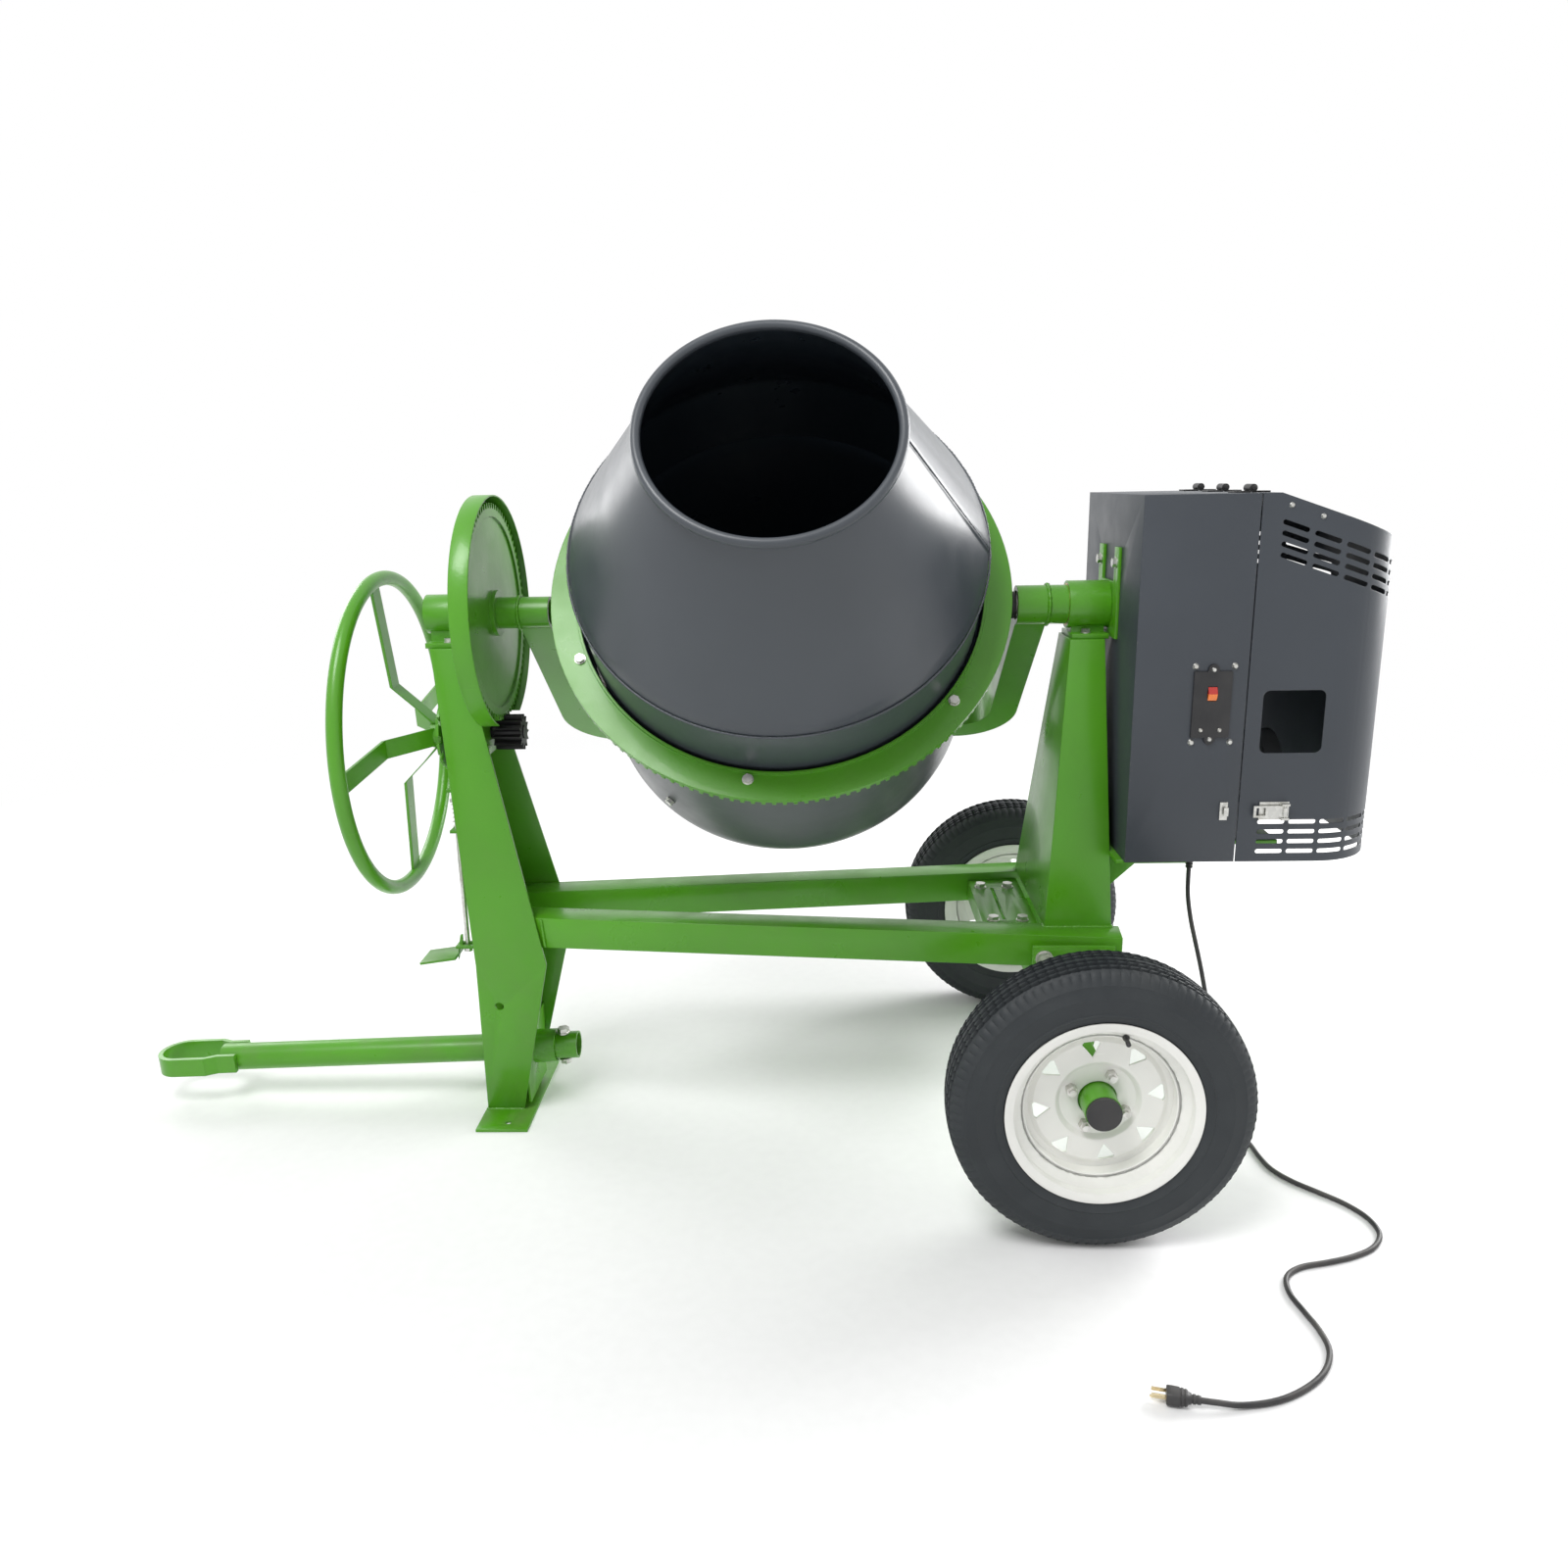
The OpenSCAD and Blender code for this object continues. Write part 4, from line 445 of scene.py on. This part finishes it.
def rounded(name, width, finish, slot):
    """A copy of a CAD node, welded up and with its edges rounded by width, that stands for the node."""
    source = frame["nodes"][name]
    shape = bmesh.new()
    shape.from_mesh(source.data)
    bmesh.ops.remove_doubles(shape, verts=shape.verts, dist=2e-5)
    bmesh.ops.dissolve_limit(shape, angle_limit=math.radians(0.5), verts=shape.verts, edges=shape.edges)
    edges = [e for e in shape.edges if len(e.link_faces) == 2 and e.calc_face_angle() > math.radians(35)]
    bmesh.ops.bevel(shape, geom=edges, offset=width, segments=2, profile=0.5, affect="EDGES",
                    clamp_overlap=True)
    return from_bmesh(name + "_shape", shape, Matrix.Identity(4), finish, slot, source["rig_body"],
                      28, name)


def dress(finish, *names):
    """Gives CAD nodes that are shown as they are a better material."""
    for name in names:
        mesh = frame["nodes"][name].data
        mesh.materials.clear()
        mesh.materials.append(finish)


rounded("stand_pedestal", 0.0018, green_paint, "green_paint")
rounded("stand_foot", 0.0012, green_paint, "green_paint")
rounded("tow_sleeve", 0.0010, green_paint, "green_paint")


def weld_bead(shape, line, radius, seed=0.0):
    """Adds the rippled bead that a welder leaves along a line of points."""
    step, ripple_pitch, sides = 0.0028, 0.0085, 8
    line = [Vector(p) for p in line]
    places = []
    for a, b in zip(line, line[1:]):
        steps = max(2, round((b - a).length / step))
        places += [a.lerp(b, k / steps) for k in range(steps)]
    places.append(line[-1])
    rings = []
    for i, place in enumerate(places):
        along = (places[min(i + 1, len(places) - 1)] - places[max(i - 1, 0)]).normalized()
        uneven = noise.noise(place * 90 + Vector((seed, 0, 0)))
        ripple = 1 + 0.16 * math.sin(i * step * 2 * math.pi / ripple_pitch) + 0.3 * uneven
        size = radius * ripple * (0.45 if i in (0, len(places) - 1) else 1)
        side = along.cross(Vector((0.31, 0.22, 0.92))).normalized()
        up = side.cross(along)
        rings.append([shape.verts.new(place + size * (math.cos(2 * math.pi * k / sides) * side
                                                      + math.sin(2 * math.pi * k / sides) * up))
                      for k in range(sides)])
    for a, b in zip(rings, rings[1:]):
        for k in range(sides):
            shape.faces.new((a[k], a[(k + 1) % sides], b[(k + 1) % sides], b[k]))
    shape.faces.new(rings[0][::-1])
    shape.faces.new(rings[-1])


def circle_line(centre, radius, axis="X", steps=40):
    """The points of a closed circle round an axis."""
    points = []
    for k in range(steps + 1):
        angle = 2 * math.pi * k / steps
        c, s = radius * math.cos(angle), radius * math.sin(angle)
        points.append(Vector(centre) + Vector({"X": (0, c, s), "Y": (c, 0, s), "Z": (c, s, 0)}[axis]))
    return points


stand_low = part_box("stand_pedestal")[0]
foot_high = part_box("stand_foot")[1]
foot_x = (stand_low.x + 0.039, stand_low.x + 0.118)
foot_y = 0.075
bead = 0.0032
shape = bmesh.new()
weld_bead(shape, [(foot_x[1], -foot_y, foot_high.z), (foot_x[0], -foot_y, foot_high.z),
                  (foot_x[0], foot_y, foot_high.z), (foot_x[1], foot_y, foot_high.z)], bead)
rails_low, rails_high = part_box("rails")
entry_x, entry_y = axle_x - 1.0405, 0.1143  # where a rail's outer edge enters the stand
for side in (-1, 1):
    weld_bead(shape, [(entry_x - 0.003, side * entry_y, rails_high.z - 0.002),
                      (entry_x + 0.002, side * (entry_y + 0.002), rails_low.z + 0.002)], bead, side)
from_bmesh("stand_welds", shape, Matrix.Identity(4), green_paint, "green_paint", "frame", 60)

# ---- Tow bar ----
# The tow bar is a round tube with a loop of flat strap welded to its end. It slides into
# the sleeve in the stand and is held there by one bolt.
dress(green_paint, "tow_bar")

# ---- Rails, column and running gear brackets ----
# Two square tubes spread from the stand to the axle. A shelf ties them together, and the
# folded column under the motor end is welded across them.
for name in ("rails", "cross_plate", "column", "motor_platform", "axle_brackets", "axle", "box_bracket"):
    rounded(name, 0.0016 if name in ("rails", "column") else 0.0010, green_paint, "green_paint")
column_low, column_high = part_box("column")
bracket_low, bracket_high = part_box("axle_brackets")
shape = bmesh.new()
for side in (-1, 1):
    y = side * (column_high.y + 0.0005)
    inner = side * (column_high.y - 0.018)
    weld_bead(shape, [(column_low.x - 0.0005, inner, rails_high.z), (column_low.x - 0.0005, y, rails_high.z),
                      (column_high.x, y, rails_high.z), (column_high.x, inner, rails_high.z)], bead, side)
    for x in (bracket_low.x + 0.004, bracket_high.x - 0.004):
        face = side * (bracket_high.y - 0.009)
        weld_bead(shape, [(x, face, bracket_high.z - 0.006), (x, face, rails_low.z + 0.004)], bead, x)
    axle_end = (axle_x, side * (bracket_high.y + 0.001), axle_z)
    weld_bead(shape, circle_line(axle_end, 0.0262, "Y", 4), 0.003, side)
from_bmesh("frame_welds", shape, Matrix.Identity(4), green_paint, "green_paint", "frame", 60)

# ---- Trunnion housings ----
# Turned steel housings on flat feet carry the bail's two trunnions on the stand and on the
# column. Each is bolted down through its foot.
rounded("left_housing", 0.0012, green_paint, "green_paint")
rounded("right_housing", 0.0012, green_paint, "green_paint")
bronze = material("bearing_bronze", metal, metallic=1.0, Color=(0.60, 0.40, 0.18, 1), Roughness=0.3,
                  Spangle=300.0, Tarnish=0.4)
dress(bronze, "trunnion_bushes")

# ---- Bolts ----
# The fastenings are zinc plated hexagon bolts with flat washers, screwed up tight. The
# lock's rod and spring and the shafts are left as bright steel of much the same look.
zinc = material("zinc_plate", metal, metallic=1.0, Color=(0.66, 0.66, 0.63, 1), Roughness=0.34,
                Spangle=160.0, Tarnish=0.35, Tarnish_Color=(0.26, 0.22, 0.14, 1))
dress(zinc, "frame_bolts", "drum_bolts", "near_wheel_nuts", "far_wheel_nuts", "lock_rod", "lock_spring",
      "drum_spindle", "drive_shaft", "shaft_bearings", "box_fittings")

# ---- Gear guard, bail and tilting gear ----
# A drum-shaped sheet guard covers the big tilting gear. The bail is a bent square tube that
# carries the drum on a spindle and turns on its two trunnion tubes.
rounded("gear_guard", 0.0008, green_paint, "green_paint")
dress(green_paint, "bail", "left_trunnion", "right_trunnion", "tilt_gear", "handwheel_bearing")
bail_low, bail_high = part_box("bail")
tilt_place = Vector(joints["drum_tilt"]["pos_m"])
shape = bmesh.new()
weld_bead(shape, circle_line((bail_low.x - 0.0005, tilt_place.y, tilt_place.z), 0.0318), 0.0036)
weld_bead(shape, circle_line((bail_high.x + 0.0005, tilt_place.y, tilt_place.z), 0.0388), 0.0036)
from_bmesh("trunnion_welds", shape, Matrix.Identity(4), green_paint, "green_paint", "yoke", 60)

# ---- Drum cone ----
# The upper half of the drum is a cone of 4 mm plate, rolled to a lip at the mouth. It is
# lap welded up one side and round its foot, painted dark grey outside and left dark inside.
spin = joints["drum_spin"]
drum_axis = Vector(spin["axis"])
drum_lean = Matrix.Rotation(math.atan2(-drum_axis.y, drum_axis.z), 4, "X")
drum_place = Matrix.Translation(Vector(spin["pos_m"])) @ drum_lean
grey_paint = material("drum_paint", paint, coat=0.15, coat_roughness=0.2, Color=(0.052, 0.061, 0.073, 1),
                      Roughness=0.37, Peel=0.00006, Chips=0.08, Grime=0.25, Rubs=0.30,
                      Bare_Color=(0.24, 0.23, 0.22, 1), Grime_Color=(0.17, 0.17, 0.17, 1))
inner_paint = material("drum_inside", paint, Color=(0.032, 0.044, 0.058, 1), Roughness=0.30, Peel=0.00005,
                       Chips=0.1, Grime=0.05, Rubs=0.5, Grime_Color=(0.08, 0.08, 0.08, 1))


def drum_shell(name, outside, wall, steps, seam, *replaced):
    """A turned shell with a slight hand-rolled waviness and, at angle seam, a lapped joint."""
    waviness, inset, lap_step, lap_reach = 0.0003, 0.0009, 0.0026, 0.20
    inside = [(max(r - wall, 0.0), z) for r, z in outside]
    vertices, faces = [], []
    for side, profile in enumerate((outside, inside)):
        for r, z in profile:
            for k in range(steps):
                angle = 2 * math.pi * k / steps
                here = Vector((math.cos(angle), math.sin(angle), z * 2.2))
                wave = waviness * noise.noise(here * 1.3) * min(1, r / 0.2)
                reach = r
                if side == 0 and r > 0.01:
                    reach += wave - inset
                    if seam is not None:
                        after = (angle - math.radians(seam)) % (2 * math.pi)
                        reach -= lap_step * min(1.0, after / lap_reach)
                vertices.append(drum_place @ Vector((reach * math.cos(angle), reach * math.sin(angle), z)))
    rows = len(outside)
    for side in (0, 1):
        for i in range(rows - 1):
            a, b = (side * rows + i) * steps, (side * rows + i + 1) * steps
            for k in range(steps):
                quad = (a + k, a + (k + 1) % steps, b + (k + 1) % steps, b + k)
                faces.append(quad if side == 0 else quad[::-1])
    for i in (0, rows - 1):
        a, b = i * steps, (rows + i) * steps
        for k in range(steps):
            quad = (a + k, b + k, b + (k + 1) % steps, a + (k + 1) % steps)
            faces.append(quad if i == 0 else quad[::-1])
    made = piece(name, vertices, faces, grey_paint, "grey_paint", "drum", 30, *replaced)
    made.data.materials.append(inner_paint)
    upright, upright_turn = drum_place.inverted(), drum_place.to_3x3().inverted()
    for face in made.data.polygons:
        middle, facing = upright @ face.center, upright_turn @ face.normal
        if facing.xy.dot(middle.xy) < 0 or (middle.xy.length < 0.1 and facing.z > 0):
            face.material_index = 1
    return made


mouth_radius, mouth_height, lip = 0.2205, 0.543, 0.009
seam_height, shell_radius, shell_wall = 0.213, 0.384, 0.004
neck = mouth_radius - lip + 0.0015
cone_foot, bend = 0.0545, 0.004
profile = [(shell_radius, cone_foot), (shell_radius, 0.10), (shell_radius, seam_height - bend),
           (shell_radius - 0.0005, seam_height + bend)]
cone_rows = 14
for i in range(1, cone_rows + 1):
    share = i / cone_rows
    profile.append((shell_radius + (neck - shell_radius) * share,
                    seam_height + bend + (mouth_height - 2 * lip - seam_height - bend) * share))
lap_angle = -2
drum_shell("drum_cone_shell", profile, shell_wall, 240, lap_angle, "drum_cone")
lip_profile = []
lip_steps, roll = 16, lip - 0.0004
for k in range(lip_steps):
    angle = 2 * math.pi * k / lip_steps
    lip_profile.append((mouth_radius - lip + roll * math.cos(angle),
                        mouth_height - lip + roll * math.sin(angle)))
vertices, faces = turned(lip_profile, 160, drum_place, True)
piece("mouth_lip", vertices, faces, grey_paint, "grey_paint", "drum", 60, "drum_cone")
shape = bmesh.new()
seam_ring = [drum_place @ p for p in circle_line((0, 0, seam_height), shell_radius - 0.0012, "Z", 180)]
weld_bead(shape, seam_ring, 0.0022)
lap = math.radians(lap_angle)
lap_ends = (shell_radius - 0.0015, seam_height), (neck - 0.0015, mouth_height - 2 * lip)
weld_bead(shape, [drum_place @ Vector((r * math.cos(lap), r * math.sin(lap), z)) for r, z in lap_ends],
          0.0016)
from_bmesh("cone_welds", shape, Matrix.Identity(4), grey_paint, "grey_paint", "drum", 60)

# ---- Drum bowl ----
# The lower half is one steel sheet spun to a deep dish, with no seam. Its flange is turned
# out flat at the top and carries the ring gear's bolts.
bowl_low, bowl_radius = 0.418, 0.388
corner, corner_reach, corner_rise, corner_steps = 0.150, 0.148, 0.094, 8
profile = [(0.0, -bowl_low), (0.120, -bowl_low), (bowl_radius - corner, -bowl_low + 0.0005)]
for k in range(1, corner_steps + 1):
    angle = math.pi / 2 * k / corner_steps
    profile.append((bowl_radius - corner + corner_reach * math.sin(angle),
                    -bowl_low + 0.0005 + corner_rise * (1 - math.cos(angle))))
profile += [(bowl_radius - 0.0005, -bowl_low + 0.115), (bowl_radius, -0.2), (bowl_radius, -0.1),
            (bowl_radius, 0.0), (bowl_radius, 0.055), (bowl_radius + 0.004, 0.0625)]
drum_shell("drum_bowl_shell", profile, shell_wall, 200, None, "drum_bowl")
flange_in, flange_out, flange_under, flange_top = bowl_radius + 0.001, bowl_radius + 0.028, 0.063, 0.0679
flange = [(flange_in, flange_under), (flange_out, flange_under), (flange_out, flange_top),
          (flange_in, flange_top)]
vertices, faces = turned(flange, 160, drum_place, True)
piece("bowl_flange", vertices, faces, grey_paint, "grey_paint", "drum", 35, "drum_bowl")

# ---- Ring gear and mixing paddles ----
# The cast ring gear is painted green with the frame and bolted to the bowl's flange. Two
# flat steel blades stand off the wall inside on angle cleats.
dress(green_paint, "ring_gear")
paddle_steel = material("paddle_steel", metal, metallic=0.3, Color=(0.55, 0.53, 0.50, 1), Roughness=0.34,
                        Spangle=40.0, Tarnish=0.6, Tarnish_Color=(0.10, 0.07, 0.05, 1))
dress(paddle_steel, "mixing_paddles")

# ---- Gears, pulleys, belt and motor ----
# The pinions are black cast iron, the pulleys and the motor grey castings, and the belt is
# rubber. They work inside the guard and the motor box.
black_iron = material("black_iron", metal, metallic=0.6, Color=(0.022, 0.022, 0.024, 1), Roughness=0.4,
                      Spangle=500.0, Tarnish=0.3, Tarnish_Color=(0.05, 0.04, 0.03, 1), Relief=0.0001)
dress(black_iron, "drive_pinion", "tilt_pinion")
motor_grey = material("motor_grey", paint, Color=(0.12, 0.13, 0.14, 1), Roughness=0.45, Peel=0.0002,
                      Chips=0.2, Grime=0.4, Rubs=0.1)
dress(motor_grey, "motor", "drive_pulley", "motor_pulley")
dress(lead_rubber, "drive_belt")

# ---- Motor box ----
# The fixed half of the box is folded from 2 mm sheet with a satin dark grey powder coat.
# The hood is of the same sheet, with pressed slots, and hangs on three black hinges.
box_paint = material("box_powder_coat", paint, Color=(0.044, 0.052, 0.064, 1), Roughness=0.42, Peel=0.00011,
                     Chips=0.25, Grime=0.2, Rubs=0.2, Bare_Color=(0.25, 0.25, 0.24, 1),
                     Grime_Color=(0.20, 0.20, 0.20, 1))
rounded("drive_box", 0.0009, box_paint, "grey_paint")
dress(box_paint, "hood")
black_paint = material("black_paint", paint, Color=(0.013, 0.013, 0.014, 1), Roughness=0.35, Peel=0.00008,
                       Chips=0.4, Grime=0.1, Rubs=0.1, Bare_Color=(0.3, 0.3, 0.29, 1))
dress(black_paint, "box_hinges")


def two_tone(name, first, second, is_second):
    """Gives one CAD node two materials, split by where each face lies."""
    mesh = frame["nodes"][name].data
    mesh.materials.clear()
    mesh.materials.append(first)
    mesh.materials.append(second)
    for face in mesh.polygons:
        face.material_index = 1 if is_second(face.center) else 0


hinge_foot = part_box("box_hinges")[0].z
two_tone("hood_fittings", zinc, black_paint, lambda c: c.z > hinge_foot - 0.001)

# ---- Switch ----
# A plate with two ears, moulded in black plastic, is screwed to the box. It carries a lit
# rocker that snaps into it, red above and orange below.
black_plastic = material("black_plastic", moulded, Color=(0.016, 0.016, 0.018, 1), Roughness=0.42,
                         Grain_Scale=1600.0, Grain_Depth=0.00005, Dust=0.12)
rounded("switch_plate", 0.0012, black_plastic, "black_plastic")
rocker_red = material("rocker_red", moulded, coat=0.5, coat_roughness=0.06, Color=(0.50, 0.018, 0.010, 1),
                      Roughness=0.22, Grain_Scale=300.0, Grain_Depth=0.00001, Dust=0.05)
rocker_orange = material("rocker_orange", moulded, coat=0.5, coat_roughness=0.06, Color=(0.95, 0.22, 0.02, 1),
                         Roughness=0.22, Grain_Scale=300.0, Grain_Depth=0.00001, Dust=0.02)
rocker_low, rocker_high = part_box("rocker_switch")
two_tone("rocker_switch", rocker_red, rocker_orange, lambda c: c.z < (rocker_low.z + rocker_high.z) / 2)

# ---- Hood latch ----
# A lever pressed from zinc plated steel turns on a pin in its base, which is screwed to the
# hood. It pulls a loop over the keeper on the box.
dress(zinc, "hood_latch")

# ---- Handwheel and its lock ----
# The handwheel is a ring of round tube on four bent flat spokes. Its notched plate is held
# by a sprung rod that a foot pedal pulls down.
dress(green_paint, "handwheel", "lock_plate", "lock_guides")
rounded("lock_pedal", 0.0008, green_paint, "green_paint")

# ---- Tyres ----
# Narrow cross-ply trailer tyres, moulded in black rubber and seated on the rims' beads. They
# have straight ribs with saw-toothed edges, notched shoulders and rings round the sidewalls.
tyre_rubber = material("tyre_rubber", moulded, Color=(0.016, 0.021, 0.025, 1), Roughness=0.60,
                       Grain_Scale=420.0, Grain_Depth=0.00012, Dust=0.07)
tyre_radius = 0.2625
tyre_section = [  # radius, distance from the middle plane
    (0.1560, 0.0490), (0.1680, 0.0516), (0.1705, 0.0542), (0.1735, 0.0546), (0.1755, 0.0560),
    (0.1820, 0.0580), (0.1842, 0.0598), (0.1865, 0.0586), (0.1950, 0.0598), (0.2070, 0.0606),
    (0.2140, 0.0604), (0.2160, 0.0610), (0.2185, 0.0600), (0.2280, 0.0586), (0.2345, 0.0570),
    (0.2370, 0.0576), (0.2440, 0.0542), (0.2500, 0.0506), (0.2545, 0.0470), (0.2575, 0.0430)]
rib_edges = [0.0395, 0.0310, 0.0270, 0.0165, 0.0125, 0.0040]
teeth_round = 96
tyre_steps = teeth_round * 4
groove_depth = 0.0055
tooth_shift = 0.0024
notch_depth, notch_from, notch_to, notch_foot = 0.0030, 0.0425, 0.0545, 0.243
bead_seat = [(0.1552, z, 0.0) for z in (-0.0488, -0.0370, 0.0370, 0.0488)]
valve_turn, valve_lean = 75, -8  # degrees round the rim, and out from it


def crown(offset):
    """Radius of the tread at a distance from the middle plane."""
    return tyre_radius - 0.0040 * (abs(offset) / 0.043) ** 2.2


for side, prefix in ((-1, "near"), (1, "far")):
    centre = Vector(joints[prefix + "_wheel_spin"]["pos_m"])
    place = Matrix.Translation(centre) @ Matrix.Rotation(-side * math.pi / 2, 4, "X")
    half = [(r, z, 0.0) for r, z in tyre_section]
    for index, offset in enumerate(rib_edges):
        top, down = crown(offset), crown(offset) - groove_depth
        if index % 2 == 0:
            half += [(top, offset + 0.0004, -tooth_shift), (down, offset - 0.0008, -tooth_shift)]
        else:
            half += [(down, offset + 0.0008, tooth_shift), (top, offset - 0.0004, tooth_shift)]
    loop = half + [(crown(0.0), 0.0, 0.0)] + [(r, -z, -shift) for r, z, shift in reversed(half)] + bead_seat
    vertices, faces = [], []
    for r, z, shift in loop:
        for k in range(tyre_steps):
            angle = 2 * math.pi * k / tyre_steps
            saw = (k % 4) / 4 - 0.375
            notched = notch_from < abs(z) < notch_to and r > notch_foot and k % 4 == 0
            reach = r - notch_depth if notched else r
            vertices.append(place @ Vector((reach * math.cos(angle), reach * math.sin(angle),
                                            z + shift * saw * 2)))
    rows = len(loop)
    for i in range(rows):
        a, b = i * tyre_steps, (i + 1) % rows * tyre_steps
        faces += [(a + k, b + k, b + (k + 1) % tyre_steps, a + (k + 1) % tyre_steps)
                  for k in range(tyre_steps)]
    piece(prefix + "_tyre_rubber", vertices, faces, tyre_rubber, "tyre", prefix + "_wheel",
          32, prefix + "_tyre")

    # The valve is a rubber stem with a ribbed plastic cap, set in the rim beside the disc.
    stem = [(0.0, 0.0), (0.0058, 0.0), (0.0060, 0.003), (0.0042, 0.006), (0.0036, 0.014), (0.0040, 0.0145),
            (0.0042, 0.0150), (0.0042, 0.0225), (0.0034, 0.0238), (0.0, 0.0240)]
    round_rim = place @ Matrix.Rotation(math.radians(valve_turn), 4, "Z")
    leaning = Matrix.Rotation(math.radians(valve_lean), 4, "Y")
    valve_place = round_rim @ Matrix.Translation((0.135, 0, 0.0288)) @ leaning
    vertices, faces = turned(stem, 24, valve_place)
    piece(prefix + "_valve", vertices, faces, plug_rubber, "rubber", prefix + "_wheel", 35, prefix + "_tyre")

# ---- Rims and hubs ----
# Each rim is pressed from steel sheet, enamelled off-white and held by four nuts. The hub is
# turned steel in the frame's green, closed by a push-in cap of black plastic.
rim_white = material("rim_white", paint, coat=0.3, coat_roughness=0.1, Color=(0.86, 0.86, 0.82, 1),
                     Roughness=0.32, Peel=0.00012, Chips=0.0, Grime=0.12, Rubs=0.1,
                     Grime_Color=(0.42, 0.38, 0.32, 1))
cap_offset = 0.0481
for prefix in ("near", "far"):
    rounded(prefix + "_rim", 0.0009, rim_white, "white_paint")
    cap_start = abs(Vector(joints[prefix + "_wheel_spin"]["pos_m"]).y) + cap_offset
    two_tone(prefix + "_hub", green_paint, black_plastic, lambda c: abs(c.y) > cap_start)

# ---- Ground and light ----
# A plain pale floor runs out of sight into white. One large lamp stands front left, and
# two more behind, right and left, draw highlights down the drum in an even white room.
floor_mesh = bpy.data.meshes.new("floor")
floor_reach = 30.0
floor_mesh.from_pydata([(-floor_reach, -floor_reach, 0), (floor_reach, -floor_reach, 0),
                        (floor_reach, floor_reach, 0), (-floor_reach, floor_reach, 0)], [], [(0, 1, 2, 3)])
floor = bpy.data.objects.new("floor", floor_mesh)
bpy.context.scene.collection.objects.link(floor)
ground = bpy.data.materials.new("pale_ground")
ground.use_nodes = True
tree = ground.node_tree
tree.nodes.clear()
where = put(tree, "ShaderNodeTexCoord").outputs["Object"]
away = put(tree, "ShaderNodeVectorMath", {0: where}, operation="LENGTH").outputs["Value"]
speckle = grade(tree, cloud(tree, where, 40.0, 4.0), 0.3, 0.7, 0.93, 0.95)
matt = put(tree, "ShaderNodeBsdfDiffuse", {"Color": put(tree, "ShaderNodeCombineColor", {
    0: speckle, 1: speckle, 2: speckle}).outputs[0]})
white = put(tree, "ShaderNodeEmission", {"Color": (1, 1, 1, 1), "Strength": 1.0})


def background_rays(tree):
    """1 for the rays that should find a white background: direct, mirrored or through glass."""
    rays = put(tree, "ShaderNodeLightPath").outputs
    other = arith(tree, "MAXIMUM", rays["Is Glossy Ray"], rays["Is Transmission Ray"])
    return arith(tree, "MAXIMUM", rays["Is Camera Ray"], other)


fade = arith(tree, "MULTIPLY", grade(tree, away, 2.0, 4.2), background_rays(tree))
mixed = put(tree, "ShaderNodeMixShader", {0: fade, 1: matt.outputs[0], 2: white.outputs[0]})
put(tree, "ShaderNodeOutputMaterial", {"Surface": mixed.outputs[0]})
floor_mesh.materials.append(ground)

world = bpy.data.worlds.new("white_room")
bpy.context.scene.world = world
world.use_nodes = True
tree = world.node_tree
tree.nodes.clear()
even_light = 0.53
even = put(tree, "ShaderNodeBackground", {"Color": (1, 1, 1, 1), "Strength": even_light})
white = put(tree, "ShaderNodeBackground", {"Color": (1, 1, 1, 1), "Strength": 1.0})
mixed = put(tree, "ShaderNodeMixShader", {0: background_rays(tree), 1: even.outputs[0], 2: white.outputs[0]})
put(tree, "ShaderNodeOutputWorld", {"Surface": mixed.outputs[0]})


def lamp(name, place, target, size, power):
    """A large soft square lamp aimed at a point."""
    data = bpy.data.lights.new(name, "AREA")
    data.shape = "SQUARE"
    data.size = size
    data.energy = power
    made = bpy.data.objects.new(name, data)
    bpy.context.scene.collection.objects.link(made)
    aim = (Vector(target) - Vector(place)).to_track_quat("-Z", "Y")
    made.matrix_world = Matrix.Translation(place) @ aim.to_matrix().to_4x4()


middle = (0.0, 0.0, 0.8)
lamp("key_lamp", (-1.4, -2.4, 4.9), middle, 2.2, 150)
lamp("right_lamp", (3.9, 1.9, 2.1), middle, 2.6, 210)
lamp("left_lamp", (-3.6, 2.6, 2.6), middle, 2.2, 60)

bpy.context.scene.view_settings.view_transform = "Standard"
